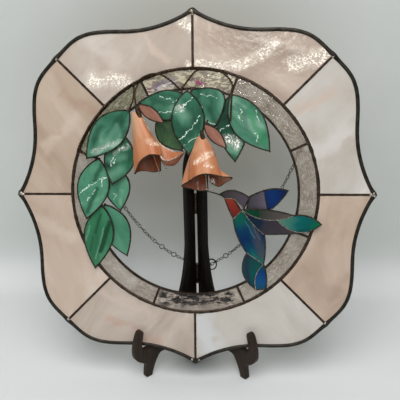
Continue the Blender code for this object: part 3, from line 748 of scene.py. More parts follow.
def effect_group(kind: Effect) -> Tree:
    """The shared group of a kind, built the first time."""
    found = bpy.data.node_groups.get(kind.value)
    return found or getattr(EffectMaker(kind), kind.name.lower())()


def started(name: str, own: Matrix | None = None) -> tuple[
        Material, Wiring, Node, Socket]:
    """A new material.

    Args:
        name: Its name.
        own: Frame that its pattern is read in, if not the part's.

    Returns:
        The material, its wiring, its shader, and the place on the piece.
    """
    made = bpy.data.materials.new(name)
    made.use_nodes = True
    wiring = Wiring(made.node_tree)
    place = wiring.node("TexCoord").outputs["Object"]
    if own:
        place = wiring.node("Mapping", {"Vector": place, "Location": own.translation,
                                        "Rotation": own.to_euler()},
                            vector_type="TEXTURE").outputs[0]
    return made, wiring, made.node_tree.nodes["Principled BSDF"], place


@dataclass(frozen=True)
class Mark:
    """A streak, vein or patch of flakes at its own place in a pane; the pale veins and bright flakes made
    with it are painted reflections and glints.
    """

    start: Flat  # Where it starts on the panel, in millimetres
    end: Flat  # Where it ends
    width: float  # Half its width in millimetres
    colour: Colour  # Its colour
    strength: float = 1.0  # How far it covers the glass
    wander: float = 1.0  # How far its line wanders, in millimetres
    fine: float = 90.0  # Wanderings per metre
    soft: float = 0.6  # Share of its width over which it fades
    gaps: float = 0.0  # How broken it is, 0 to 1
    flakes: bool = False  # Whether it shows only as scattered flakes
    glint_glow: float = 0.0  # Strength of its painted glow: a painted glint that shines with no lamp

    def mask(self, w: Wiring, place: Socket, spot: Spot, seed: float) -> Socket:
        """Where the mark shows, read at a place in a pane's own frame."""
        start, end = ((*(spot.own.inverted() @ p).xy, 0.0)
                      for p in millimetres((self.start, self.end)))
        return w.effect(Effect.MARK, place, Start=start, End=end, Width=self.width * MM,
                        Soft=self.soft, Wander=self.wander * MM, Fine=self.fine,
                        Gaps=self.gaps, Seed=seed).outputs["Mask"]


def painted_reflection_line(*points: Flat, glint_glow: float = 0.28) -> tuple[Mark, ...]:
    """A thin jagged pale line through points of the panel in millimetres: a painted reflection of light
    on the glass's ridges.
    """
    return tuple(Mark(a, b, 0.55, 0xDEF0E2, 0.9, 2.4, 190.0, 0.75, 0.25, glint_glow=glint_glow)
                 for a, b in zip(points, points[1:]))


def band(start: Flat, end: Flat, width: float, colour: Colour, strength: float = 0.8,
         wander: float = 2.0) -> Mark:
    """A broad soft streak of another colour."""
    return Mark(start, end, width * 1.3, colour, strength * 0.8, wander * 2.0, 30.0, 0.95)


def flakes(start: Flat, end: Flat, width: float, colour: Colour, glint_glow: float = 0.26,
           strength: float = 1.0) -> tuple[Mark, Mark]:
    """A band of painted glints: small bright flakes over a pale haze of painted sheen."""
    return (Mark(start, end, width * 1.2, colour, strength * 0.3, 5.0, 45.0, 0.9),
            Mark(start, end, width * 1.1, colour, strength, 5.0, 45.0, 0.8, 0.0, True, glint_glow))


@dataclass(frozen=True)
class GlassFinish:
    """One sheet of art glass."""

    stops: Stops  # Colours of its streaks, from 0 to 1
    scale: float = 50.0  # Streaks per metre across the pane
    stretch: float = 2.5  # How much longer than wide they are
    warp: float = 0.7  # How much they wander
    contrast: float = 1.6  # How far they reach along the ramp
    slope: float = 0.0  # Drift along the ramp for each metre up the pane
    middle: float = 0.5  # Place on the ramp at the pane's own origin
    marks: tuple[Mark, ...] = ()  # Streaks, veins and flakes at their own places; the pale veins and bright flakes are painted reflections and glints
    flake: float = 260.0  # Flakes per metre
    flake_width: float = 0.07  # How thick a flake is, 0 to about 0.1
    flake_stretch: float = 1.6  # How much longer than wide they are
    flake_share: float = 0.5  # Share of the pane that has stray flakes, painted glints
    stray_glints: float = 0.0  # Strength of the stray flakes, painted glints
    stray_colour: Colour = 0xECE8DE  # Their colour
    stray_glint_glow: float = 0.2  # Strength of their painted glow
    wave: float = 0.0002  # Height of the surface's waves in metres
    wave_scale: float = 160.0  # Waves per metre
    wave_stretch: float = 1.0  # How much longer than wide the waves are
    hammer: float = 0.0  # From 0 for rolled to 1 for hammered
    roughness: float = 0.16  # Roughness of the surface
    transmission: float = 0.0  # Share of light that goes through clearly
    specular: float = 0.5  # Strength of its reflection

    def flaked(self, w: Wiring, place: Socket, share: float, seed: float) -> Socket:
        """Mask of small flakes over a share of the pane."""
        return w.effect(Effect.CRACKLE, place, Scale=self.flake, Width=self.flake_width,
                        Stretch=self.flake_stretch, Share=share, Seed=seed).outputs["Mask"]

    def layers(self, w: Wiring, place: Socket, spot: Spot,
               seed: float) -> list[tuple[Socket, Colour, float, float]]:
        """What lies over the streaks.

        Args:
            w: Wiring of the material.
            place: Place in the pane's own frame.
            spot: The pane's own frame.
            seed: Picks the pattern.

        Returns:
            Mask, colour, strength and painted glow of each layer.
        """
        scattered = self.flaked(w, place, 1.5, seed * 1.9 + 3)
        found = []
        for number, mark in enumerate(self.marks):
            mask = mark.mask(w, place, spot, seed + number * 0.31)
            if mark.flakes:
                mask = w.maths("MULTIPLY", mask, scattered)
            found.append((mask, mark.colour, mark.strength, mark.glint_glow))
        if self.stray_glints:
            found.append((self.flaked(w, place, self.flake_share, seed * 1.3 + 1),
                          self.stray_colour, self.stray_glints, self.stray_glint_glow))
        return found

    def material(self, name: str, seed: float, spot: Spot) -> Material:
        """Makes the finish for one pane.

        Args:
            name: Name of the material.
            seed: Picks its pattern.
            spot: The pane's own frame.

        Returns:
            The material.
        """
        made, w, shader, place = started(name, spot.whole)
        streaks = w.effect(Effect.STREAKS, place, Scale=self.scale, Stretch=self.stretch,
                           Warp=self.warp, Contrast=self.contrast, Slope=self.slope,
                           Middle=self.middle, Seed=seed)
        colour = w.ramp(streaks.outputs["Fac"], self.stops)
        # Marks that glow feed the emission: painted glints that shine with no lamp.
        shine: Value | None = None
        for mask, tint, strength, glint_glow in self.layers(w, place, spot, seed):
            share = w.maths("MULTIPLY", mask, strength)
            colour = w.mixed(share, colour, linear(tint))
            if glint_glow:
                glint_emission = w.mixed(w.maths("MULTIPLY", share, glint_glow), BLACK, linear(tint))
                shine = w.vector("MAXIMUM", shine, glint_emission) if shine else glint_emission
        if shine:
            w.feed(shader, {"Emission Color": shine, "Emission Strength": 1.0})
        waves = w.effect(Effect.WAVES, place, Scale=self.wave_scale, Stretch=self.wave_stretch,
                         Hammer=self.hammer, Seed=seed + 7)
        w.feed(shader, {
            "Base Color": colour, "Normal": w.bump(waves.outputs["Height"], self.wave),
            "Roughness": self.roughness, "Transmission Weight": self.transmission,
            "Specular IOR Level": self.specular, "IOR": 1.5,
        })
        return made


@dataclass(frozen=True)
class MetalFinish:
    """Solder, wire or hinge metal."""

    dark: Colour  # Colour in the dark patches
    light: Colour  # Colour in the bright patches
    scale: float = 300.0  # Patches per metre
    contrast: float = 1.8  # How strongly the patches differ
    smooth: float = 0.25  # Roughness where it shines
    dull: float = 0.5  # Roughness where it is dull
    metallic: float = 0.9  # How metallic it is
    bump: float = 0.00015  # Height of its fine unevenness in metres

    def material(self, name: str, seed: float = 0.0) -> Material:
        """Makes the finish.

        Args:
            name: Name of the material.
            seed: Picks its pattern.

        Returns:
            The material.
        """
        made, w, shader, place = started(name)
        wear_and_sheen = w.effect(Effect.PATINA, place, Scale=self.scale, Contrast=self.contrast,
                        Seed=seed).outputs
        w.feed(shader, {
            "Base Color": w.ramp(wear_and_sheen["Fac"], ((0.15, self.dark), (0.85, self.light))),
            "Roughness": w.maths("MULTIPLY_ADD", wear_and_sheen["Dull"], self.dull - self.smooth,
                                 self.smooth),
            "Metallic": self.metallic, "Normal": w.bump(wear_and_sheen["Height"], self.bump),
        })
        return made


@dataclass(frozen=True)
class WoodFinish:
    """Stained and waxed wood."""

    main: tuple[Colour, Colour]  # Colours of the dark and the light grain
    wear_and_sheen: tuple[Colour, Colour]  # Lighter colours, the same way, for the feet and lips: a painted sheen
    scale: float = 260.0  # Fibres per metre
    stretch: float = 14.0  # How much longer than wide they are
    roughness: float = 0.34  # Roughness of the wax
    bump: float = 0.00012  # Depth of the pores in metres
    shine: float = 0.12  # Strength of its reflection

    def material(self, name: str, seed: float) -> Material:
        """Makes the finish.

        Args:
            name: Name of the material.
            seed: Picks its pattern.

        Returns:
            The material.
        """
        made, w, shader, place = started(name)
        grain = w.effect(Effect.GRAIN, place, Scale=self.scale, Stretch=self.stretch,
                         Seed=seed).outputs
        main, wear_and_sheen = (w.ramp(grain["Fac"], tuple(zip((0.1, 0.9), pair)))
                      for pair in (self.main, self.wear_and_sheen))
        w.feed(shader, {
            # Below 7 cm the feet and lips take the lighter colours, a painted sheen; above 10 cm the main
            # grain.
            "Base Color": w.mixed(w.step(w.part(place, 2), 0.07, 0.1), wear_and_sheen, main),
            "Roughness": w.maths("MULTIPLY_ADD", grain["Pores"], 0.25, self.roughness),
            "Specular IOR Level": self.shine,
            "Normal": w.bump(grain["Pores"], self.bump, invert=True),
        })
        return made


@dataclass(frozen=True)
class PaintFinish:
    """Matt paint of the stage, seen from its front only, with a painted shadow on the wall behind the
    panel.
    """

    low: Colour  # One of the wall's two close colours
    high: Colour  # The other
    floor: Colour  # Colour of the floor
    painted_shadow: Colour  # Colour of the painted shadow in the middle of the wall
    middle: Place = (-0.02, 0.0, 0.28)  # Middle of the painted shadow
    roughness: float = 0.7  # Its roughness

    def material(self, name: str) -> Material:
        """Makes the finish.

        Args:
            name: Name of the material.

        Returns:
            The material.
        """
        made, w, shader, place = started(name)
        cloud = w.effect(Effect.PATINA, place, Scale=5.0, Contrast=1.2).outputs["Fac"]
        # The wall darkens towards the middle: a painted shadow of the panel.
        away = w.measure("DISTANCE", w.vector("MULTIPLY", place, (1.0, 0.0, 1.0)), self.middle)
        wall = w.mixed(w.step(away, 0.06, 0.31), linear(self.painted_shadow),
                       w.ramp(cloud, ((0.2, self.low), (0.8, self.high))))
        foot = w.step(w.part(place, 2), 0.0, 0.09)
        w.feed(shader, {"Base Color": w.mixed(foot, linear(self.floor), wall),
                        "Roughness": self.roughness})
        mix = w.node("MixShader", {
            0: w.node("NewGeometry").outputs["Backfacing"], 1: shader.outputs[0],
            2: w.node("BsdfTransparent").outputs[0],
        })
        w.feed(made.node_tree.nodes["Material Output"], {"Surface": mix.outputs[0]})
        return made


# ---- the finishes used

OPAL = GlassFinish(stops=((0, 0xAC9482), (0.35, 0xBEA896), (0.65, 0xCAB6A5), (1, 0xDACCBF)), scale=18,
    stretch=2.2, warp=0.9, contrast=2.4, flake=360, flake_width=0.1, wave=0.0003, wave_scale=130,
    roughness=0.22, transmission=0.04)
CLEAR = GlassFinish(stops=((0, 0xB6A698), (0.5, 0xD0C2B4), (1, 0xEAE0D4)), scale=45, stretch=1.2, warp=1,
    contrast=2, flake=300, flake_width=0.05, flake_share=0.9, stray_glints=0.55, stray_glint_glow=0.03, wave=0.0011,
    wave_scale=150, hammer=0.35, roughness=0.06, transmission=0.82)
GREEN = GlassFinish(stops=((0, 0x0E3A2A), (0.3, 0x2A624A), (0.65, 0x4E866C), (1, 0x8AB29C)), scale=42,
    stretch=1.9, warp=0.9, contrast=2.2, wave=0.00025, wave_scale=140, roughness=0.15)
PEACH = GlassFinish(stops=((0, 0x944828), (0.4, 0xBC744C), (0.75, 0xC88B64), (1, 0xD4A684)), scale=46,
    stretch=3, warp=0.6, contrast=1.5, slope=-8, wave=0.0003, wave_scale=150, roughness=0.24,
    specular=0.3)
# Darker copy of the peach glass for the insides of the flowers: painted shade.
SHADED_PEACH = GlassFinish(stops=((0, 0x4E2616), (0.5, 0x84482C), (1, 0xA86A46)), scale=60, stretch=2.5,
    contrast=1.6, roughness=0.25)
ROSE = GlassFinish(stops=((0, 0x704436), (0.5, 0x946554), (1, 0xB28C78)), scale=80, stretch=2.5,
    contrast=1.6, roughness=0.2)
SLATE = GlassFinish(stops=((0, 0x342E38), (1, 0x7E7286)), scale=90, stretch=3, warp=0.9, roughness=0.14,
    specular=0.18)
RED = GlassFinish(stops=((0, 0x5C100C), (1, 0xB23E24)), scale=80, stretch=2, roughness=0.12)
BLUE = GlassFinish(stops=((0, 0x0C1A42), (1, 0x1C6896)), scale=60, stretch=3, warp=0.9, roughness=0.12,
    specular=0.12)
TEAL = GlassFinish(stops=((0, 0x0A3238), (1, 0x40928E)), scale=60, stretch=3, warp=0.9, roughness=0.12,
    specular=0.12)

RIM_METAL = MetalFinish(dark=0x171512, light=0x444039, scale=160, contrast=1.3, smooth=0.3, dull=0.5,
    metallic=0.85)
SEAM_METAL = MetalFinish(dark=0x1C1611, light=0x524438, scale=260, contrast=1.6, smooth=0.28, dull=0.55,
    metallic=0.8)
FOIL_METAL = MetalFinish(dark=0x161412, light=0x544E44, scale=320, contrast=1.9, smooth=0.25, dull=0.5,
    metallic=0.8)
SILVER_METAL = MetalFinish(dark=0x80766A, light=0xCEC6B8, scale=300, smooth=0.16, dull=0.35,
    metallic=0.95)
VINE_METAL = MetalFinish(dark=0x1C140E, light=0x5C4836, scale=350, smooth=0.25, dull=0.5)
CHAIN_METAL = MetalFinish(dark=0x3C3831, light=0x9C968C, scale=500, smooth=0.2, dull=0.4, metallic=1)
RING_METAL = MetalFinish(dark=0x1A1818, light=0x42403E, scale=500, smooth=0.25, dull=0.45)
BRASS_METAL = MetalFinish(dark=0x26201A, light=0x5C5040, scale=300, smooth=0.3, dull=0.5)
WALNUT = WoodFinish(main=(0x050403, 0x16110D), wear_and_sheen=(0x261E18, 0x382D25))


# ---- flat panel


def rim_outline(steps: int) -> list[Vector]:
    """Middle line of the rim, anticlockwise from the top.

    Args:
        steps: Steps between two of the octant's points.

    Returns:
        The points, the same number in each of the eight octants.
    """
    octant = millimetres(OCTANT)
    quarter = octant + [Vector((p.y, p.x, 0)) for p in reversed(octant[:-1])]
    side = smooth_curve(quarter, steps)[:-1]
    return [Matrix.Rotation(turn * math.pi / 2, 3, "Z") @ Vector((-p.x, p.y, 0))
            for turn in range(4) for p in side]


def outer_end(k: int) -> float:
    """Distance of the rim's points and corners from the middle, clockwise from the top."""
    return CORNER_RADIUS if k % 2 else TIP_RADIUS


@dataclass
class Rim:
    """The came round the panel, its soldered joints, and the two loops behind it."""

    swell: float = 0.42  # Share by which the came swells at a joint
    reach: float = 5 * MM  # How far from a joint it swells
    loop_radius: float = 4 * MM  # Radius of a loop
    loop_wire: float = 0.9 * MM  # Half the thickness of its wire

    def came(self) -> Skin:
        """Rounded strip along the outline, swollen at its joints."""
        joints = [clockwise(k * EIGHTH, outer_end(k)) for k in range(8)]
        outline = rim_outline(8)
        grid = []
        for i, point in enumerate(outline):
            along = direction(outline, i, closed=True)
            inward = Vector((-along.y, along.x, 0))
            near = min((point - joint).length for joint in joints)
            swell = self.swell * math.exp(-((near / self.reach) ** 2))
            uneven = 1 + 0.03 * lumps(point, 7 * MM, 1) + 0.02 * lumps(point, 2 * MM, 2)
            deep = RIM_DEPTH / 2 * (1 + 0.3 * swell) * (0.97 if uneven > 1 else uneven * 0.97)
            row = []
            for across, rise in (squared(a, 0.75, 0.8) for a in angles(16)):
                wide = RIM_WIDTH / 2 * (1 + swell if across < 0 else 1 + swell * 0.4) * uneven
                row.append(point + inward * across * wide + UP * (rise * deep))
            grid.append(row)
        skin = Skin()
        skin.loft(grid, closed=True)
        return skin

    def joint(self, number: int) -> Skin:
        """Solder on one joint.

        Args:
            number: From 0 at the top, clockwise.

        Returns:
            The drops.
        """
        turn = -number * EIGHTH
        skin = Skin()
        at = clockwise(-turn, outer_end(number))
        inwards = -at.normalized() * MM
        if number % 2:
            skin.drop(at + inwards * 0.8, (3.3, 2.6, 3.5), 0.2, number, turn)
        elif number == 4:
            for side, wide in ((-1, 2.6), (1, 2.9)):
                skin.drop(at + inwards * 1.6 + Vector((side * 4.2, 0.8, 0)) * MM,
                          (wide, 2.4, 3.6), 0.2, number + side, -side * 0.35)
        else:
            skin.drop(at + inwards * 0.7, (5.0, 3.4, 3.7), 0.25, number, turn)
            skin.drop(at + inwards * 3.4, (2.3, 3.0, 3.4), 0.25, number + 9, turn)
        return skin

    def loop(self, side: int) -> Skin:
        """One wire loop behind a top corner, with its solder.

        Args:
            side: -1 for the left, 1 for the right.

        Returns:
            The loop.
        """
        at = Vector((side * CORNER * MM, CORNER * MM, -RIM_DEPTH / 2))
        skin = Skin()
        skin.tube([at + self.loop_radius * Vector((0, math.cos(a), -0.8 - math.sin(a)))
                   for a in angles(36)], self.loop_wire, 10, closed=True)
        skin.drop(at + UP * 0.2 * MM, (2, 3.2, 1.4), 0.2, 3)
        return skin

    def build(self, bench: Bench) -> None:
        """Lays the rim.

        Args:
            bench: Where its pieces go.
        """
        silver = [SILVER_METAL.material("joint_solder", 2.0)]
        bench.lay("rim", self.came(), [RIM_METAL.material("rim_came_metal")], Slot.SOLDER,
                  "rim_came")
        for number in range(8):
            bench.lay(f"rim_joint_{number + 1}", self.joint(number), silver, Slot.SOLDER,
                      "rim_came")
        for side, name in ((-1, "left"), (1, "right")):
            bench.lay(f"hanging_loop_{name}", self.loop(side), silver, Slot.SOLDER, "rim_came")


@dataclass(frozen=True)
class Pane:
    """One pane's own look."""

    finish: GlassFinish  # Its glass
    turn: float  # Direction of its streaks in degrees, anticlockwise from up


# Colours of the painted glints on the border glass and on the leaves.
GLINT_CREAM = 0xF4ECDE
GLINT_WHITE = 0xEEEAE4
WHITER = ((0, 0xB0A498), (0.4, 0xC0B8AE), (0.7, 0xCCC7BF), (1, 0xDEDAD4))
# The bands of flakes on panes 1 and 8 are painted glints.
BORDER_LOOKS = [
    Pane(replace(OPAL, stops=((0, 0xAE9C8E), (0.4, 0xBFB0A3), (0.7, 0xC9BEB2), (1, 0xD8D0C6)),
        marks=(band((-117.9, 176.1), (-80.6, 146.5), 10, 0xDED4CA, 0.6, 4),
        band((-69, 185.7), (-25.2, 150.7), 5, 0xE0CCBC, 0.6, 4),
        *flakes((-112.5, 130.9), (-75.2, 127.3), 11, GLINT_CREAM),
        *flakes((-12.4, 193.3), (-2.6, 185.8), 8, GLINT_CREAM),
        *flakes((-5.2, 147.3), (-0.8, 142.9), 5, GLINT_CREAM))), -52),
    Pane(replace(OPAL, stops=((0, 0xA8917D), (0.4, 0xB8A390), (0.7, 0xC5B2A0), (1, 0xD5C5B7)),
        contrast=1.9,
        marks=(band((-171.7, 51.2), (-131.6, 85.3), 9, 0xD6C4B4, 0.7, 4),
        band((-151.1, 113.5), (-111.8, 90.8), 7, 0xAE907C, 0.6, 4))), 30),
    Pane(replace(OPAL, contrast=1.9, middle=0.58,
        marks=(band((-187.7, -25.2), (-146.9, -48.9), 10, 0xDACCBC, 0.6, 4),)), 10),
    Pane(replace(OPAL, stops=((0, 0xA09083), (0.4, 0xB1A194), (0.7, 0xBEAFA2), (1, 0xCEC1B5)), contrast=2,
        marks=(band((-108.7, -150.9), (-42.6, -177.5), 7, 0xC49E8C, 0.6, 4),
        band((-113.5, -115.9), (-53.9, -142.4), 6, 0xD8C6B8, 0.5, 4))), -35),
    Pane(replace(OPAL, stops=WHITER, contrast=1.7,
        marks=(band((8.2, -148.8), (19.9, -188.8), 18, 0xD4D8DA, 0.85, 4),)), 40),
    Pane(replace(OPAL, contrast=2.2), -20),
    Pane(replace(OPAL, stops=WHITER, contrast=1.8, middle=0.62,
        marks=(band((131.8, 50.7), (175.2, 70.5), 15, 0xE4E1DC, 0.6, 5),
        band((118.7, 95), (156.5, 111.1), 9, 0xCEB2A0, 0.6, 4))), -25),
    Pane(replace(OPAL, stops=((0, 0xA49283), (0.4, 0xB5A293), (0.7, 0xC0AE9F), (1, 0xCFC0B3)),
        wave=0.0005, hammer=0.3,
        marks=(*flakes((5.8, 143.9), (50, 144.5), 6, GLINT_CREAM),
        *flakes((50, 144.5), (91.4, 164.3), 8, GLINT_CREAM), *flakes((111.2, 144.9), (149.9, 155.1), 12, GLINT_CREAM),
        band((76.1, 173), (117.4, 159.7), 6, 0xE2D6CA, 0.5, 4))), 68),
]


@dataclass
class BorderGlass:
    """The eight opal panes between the rim and the ring."""

    thickness: float = 2.8 * MM  # Thickness of the glass
    across: int = 32  # Columns of faces along a pane
    rows: int = 22  # Rows of faces from the ring to the rim
    relief: float = 0.14 * MM  # Height of the rolled surface's real waves
    gap: float = 0.002  # Angle between a pane's end and the middle of its seam

    def pane(self, number: int) -> Skin:
        """One pane.

        Args:
            number: From 0, anticlockwise from the top.

        Returns:
            Its shape.
        """
        outline = rim_outline(4)
        side = len(outline) // 8
        outer = [outline[(number * side + i) % len(outline)] for i in range(side + 1)]
        outer = even_steps(outer, sum((b - a).length for a, b in zip(outer, outer[1:]))
                           / self.across)

        def at(j: int, i: int, face: int) -> Vector:
            """A point of the pane, on its front or its back."""
            clear = self.gap * (1 if i == 0 else -1 if i == self.across else 0)
            angle = -EIGHTH * number - EIGHTH * i / self.across - clear
            edge = Matrix.Rotation(clear, 3, "Z") @ outer[i]
            point = clockwise(angle, SEAM_OUTER_RADIUS).lerp(edge, 0.01 + 0.985 * j / self.rows)
            wave = self.relief * lumps(point, 11 * MM, number) if face > 0 else 0.0
            return point + UP * (face * self.thickness / 2 + wave)

        return pane_skin(at, self.rows, self.across)

    def build(self, bench: Bench) -> None:
        """Lays the panes.

        Args:
            bench: Where they go.
        """
        for number, look in enumerate(BORDER_LOOKS):
            name = f"border_pane_{number + 1}"
            spot = bench.frame(clockwise(-EIGHTH * (number + 0.5), 165 * MM),
                               math.radians(look.turn))
            bench.lay(name, self.pane(number),
                      [look.finish.material(name, 3.1 * number + 1, spot)], Slot.OPAL,
                      f"border_glass_{number + 1}")


RING_LOOKS = [
    replace(CLEAR, flake=120, flake_width=0.06, flake_stretch=0.35, flake_share=1.1, stray_glints=0.85,
        stray_glint_glow=0.08),
    replace(CLEAR, flake=150, flake_stretch=0.4, flake_share=1.1, stray_glints=0.85),
    replace(CLEAR, flake=130, flake_stretch=0.4, flake_share=1.1, stray_glints=0.8),
    replace(CLEAR, stray_glints=0, flake=70, flake_stretch=0.35, flake_width=0.2, wave=0.002, wave_scale=90,
        wave_stretch=0.35, transmission=0.6,
        marks=(Mark((-34.5, -124.9), (39.1, -122.5), 14, 0x221912, 1, 4, 45, 0.7, flakes=True),
        Mark((-27.7, -126), (25.7, -125.5), 3.5, 0x30251C, 0.9, 6, 60, 0.6, 0.25),
        Mark((-15.7, -119), (31.7, -120.5), 2.5, 0x2C211A, 0.9, 5, 70, 0.6, 0.3),
        Mark((-20.7, -130), (22.7, -130.5), 2, 0x3C3026, 0.8, 5, 70, 0.6, 0.4))),
    replace(CLEAR, flake=130, flake_stretch=0.4, stray_glints=0.6,
        marks=(band((-90.7, -81.2), (-53.2, -108.9), 8, 0xCEBEB2, 0.7),)),
    replace(CLEAR, flake=150, flake_stretch=0.4, stray_glints=0.6),
    replace(CLEAR, stops=((0, 0x8C8A6C), (0.45, 0xA8A484), (0.7, 0xBCB69E), (1, 0xD2CEBE)), flake=110,
        flake_stretch=0.45, flake_share=1.1, stray_glints=0.7),
    replace(CLEAR, stops=((0, 0x928878), (0.5, 0xB4A898), (1, 0xD4CABA)), stray_glints=0.75, flake_share=1,
        stray_colour=0xF6EED4, stray_glint_glow=0.12, flake=75, flake_stretch=0.45, flake_width=0.12,
        transmission=0.6,
        # The pink, violet, yellow and magenta patches are a painted iridescent sheen; the small white
        # spot that glows is a painted glint.
        marks=(Mark((-52.4, 117.2), (-38.3, 122.6), 7, 0xAA8292, 0.75, 3, 30, 0.95),
        Mark((-39.4, 121.2), (-22.3, 125.6), 7, 0x9692BE, 0.8, 3, 30, 0.95),
        Mark((-13.3, 128.9), (-7.7, 124.4), 4, 0xC4B278, 0.7, 3, 90),
        Mark((4.4, 126.9), (12, 124.4), 3.2, 0xC85496, 0.9, 1, 60, 0.9),
        Mark((-33, 123), (-31.3, 123), 1.5, 0xF4F4F6, 0.95, 1, 200, glint_glow=0.25))),
]


@dataclass
class RingGlass:
    """The eight rippled clear panes of the ring."""

    thickness: float = 2.6 * MM  # Thickness of the glass
    across: int = 56  # Columns of faces along a pane
    rows: int = 12  # Rows of faces across it
    relief: float = 0.22 * MM  # Height of the real waves of each pane
    deep: int = 3  # Number of the pane whose waves are twice as high
    gap: float = 0.003  # Angle between a pane's end and the middle of its seam

    def pane(self, number: int) -> Skin:
        """One pane.

        Args:
            number: From 0 at the upper right, clockwise.

        Returns:
            Its shape.
        """
        start = DIVIDER_START + number * EIGHTH + self.gap
        strength = self.relief * (2.0 if number == self.deep else 1.0)
        width = SEAM_OUTER_RADIUS - SEAM_INNER_RADIUS

        def at(j: int, i: int, face: int) -> Vector:
            """A point of the pane, on its front or its back."""
            point = clockwise(start + (EIGHTH - 2 * self.gap) * i / self.across,
                              SEAM_INNER_RADIUS + width * j / self.rows)
            wave = strength * lumps(point, 4.5 * MM, number + 3 * face)
            return point + UP * (face * self.thickness / 2 + wave)

        return pane_skin(at, self.rows, self.across)

    def build(self, bench: Bench) -> None:
        """Lays the panes.

        Args:
            bench: Where they go.
        """
        for number, finish in enumerate(RING_LOOKS):
            name = f"ring_pane_{number + 1}"
            angle = DIVIDER_START + (number + 0.5) * EIGHTH
            spot = bench.frame(clockwise(angle, 130 * MM), -angle)
            bench.lay(name, self.pane(number), [finish.material(name, 2.3 * number + 4, spot)],
                      Slot.RIPPLE, f"ring_glass_{number + 1}")


@dataclass
class SeamWeb:
    """Solder lines of the flat panel."""

    outer: float = 2.1  # Half the width of the ring's outer seam, in millimetres
    inner: float = 1.5  # Half the width of its inner seam
    spoke: float = 1.7  # Half the width of a spoke
    divider: float = 1.53  # Half the width of a divider
    depth: float = 2.3  # Half the depth of a round seam
    cross: float = 2.2  # Half the depth of a spoke or divider

    def circle(self, radius: float, half_width: float, lump: float) -> Skin:
        """One round seam of a radius, half a width and an unevenness."""
        skin = Skin()
        skin.bead([clockwise(-a, radius) for a in angles(360)], half_width * MM,
                  self.depth * MM, closed=True, lump=lump, seed=radius * 100)
        return skin

    def straight(self, angle: float, ends: Flat, half_width: float, lump: float, seed: float,
                 drop: Sequence[float]) -> Skin:
        """One straight seam away from the middle, with a drop of solder on its inner end.

        Args:
            angle: Its angle, clockwise from the top.
            ends: Distances of its ends from the middle.
            half_width: Half its width.
            lump: How uneven it is.
            seed: Picks its unevenness.
            drop: Distance of the drop from the inner end, half its width and height, and seed.

        Returns:
            Its shape.
        """
        skin = Skin()
        skin.bead([clockwise(angle, end) for end in ends], half_width * MM, self.cross * MM,
                  lump=lump, seed=seed)
        out, wide, high, pick = drop
        skin.drop(clockwise(angle, ends[0] + out * MM), (wide, high, self.depth + 0.1), 0.2,
                  pick, -angle)
        return skin

    def build(self, bench: Bench) -> None:
        """Lays the seams.

        Args:
            bench: Where they go.
        """
        metal = [SEAM_METAL.material("seam_metal", 1.0)]
        seams = {"ring_seam_outer": self.circle(SEAM_OUTER_RADIUS, self.outer, 0.2),
                 "ring_seam_inner": self.circle(SEAM_INNER_RADIUS, self.inner, 0.1)}
        for k in range(8):
            angle = k * EIGHTH
            seams[f"spoke_seam_{k + 1}"] = self.straight(
                angle, (SEAM_OUTER_RADIUS, outer_end(k) - 2 * MM), self.spoke, 0.1, k,
                (0.5, 2.4, 2.6, k + 20))
            seams[f"divider_seam_{k + 1}"] = self.straight(
                angle + DIVIDER_START, (SEAM_INNER_RADIUS, SEAM_OUTER_RADIUS), self.divider,
                0.14, k + 9, (0.4, 1.9, 1.9, k + 30))
        for name, skin in seams.items():
            bench.lay(name, skin, metal, Slot.SOLDER, "seam_web")


# ---- leaves and flowers


@dataclass(frozen=True)
class Leaf:
    """One leaf: its place on the panel in millimetres, and its glass."""

    name: str  # Name of its node
    base: Flat  # Stalk end
    tip: Flat  # Point
    width: float  # Full width
    bow: float  # How far its middle bows to the left of the line from base to tip
    layer: float  # Layer that it lies in
    finish: GlassFinish  # Its glass

    def spot(self, s: float, t: float) -> Vector:
        """A point of the leaf's middle surface.

        Args:
            s: Place from stalk end to point, 0 to 1.
            t: Place across, -1 to 1.

        Returns:
            The point.
        """
        base, tip = millimetres((self.base, self.tip))
        along = tip - base
        left = Vector((-along.y, along.x, 0)).normalized()
        swell = math.sin(math.pi * s ** 0.88) ** 0.9 if 0 < s < 1 else 0.0
        aside = self.bow * MM * 4 * s * (1 - s) + t * self.width * MM / 2 * swell
        lift = FIRST_LAYER + (self.layer - 1) * LAYER_STEP
        return base + along * s + left * aside + UP * lift

    def edge(self, steps: int) -> list[Vector]:
        """Points round its edge, anticlockwise, with a number of steps along each side."""
        down = [self.spot(k / steps, -1) for k in range(steps)]
        return down + [self.spot(k / steps, 1) for k in range(steps, 0, -1)]

    def turn(self) -> float:
        """Direction of its outer half, anticlockwise from up the panel."""
        return heading(self.spot(1, 0) - self.spot(0.5, 0))

    def glass(self) -> Skin:
        """Its pane, a little domed and uneven."""

        def at(i: int, j: int, face: int) -> Vector:
            """A point of the pane, on its front or its back."""
            s, t = 0.006 + 0.988 * i / LEAF_STEPS, j / 5 - 1
            point = self.spot(s, t)
            rise = LEAF_DOME * (1 - t * t) * math.sin(math.pi * s) if face > 0 else 0.0
            rise += 0.08 * MM * lumps(point, 6 * MM, self.layer)
            return point + UP * (face * THIN_GLASS / 2 + rise)

        return pane_skin(at, LEAF_STEPS, 10)

    def lay(self, bench: Bench, name: str, seed: float, slot: Slot, node: str) -> None:
        """Lays its pane.

        Args:
            bench: Where it goes.
            name: Name of the piece.
            seed: Picks its pattern.
            slot: Its slot.
            node: Name of its node.
        """
        spot = bench.frame(self.spot(0.5, 0), self.turn())
        bench.lay(name, self.glass(), [self.finish.material(name, seed, spot)], slot, node)


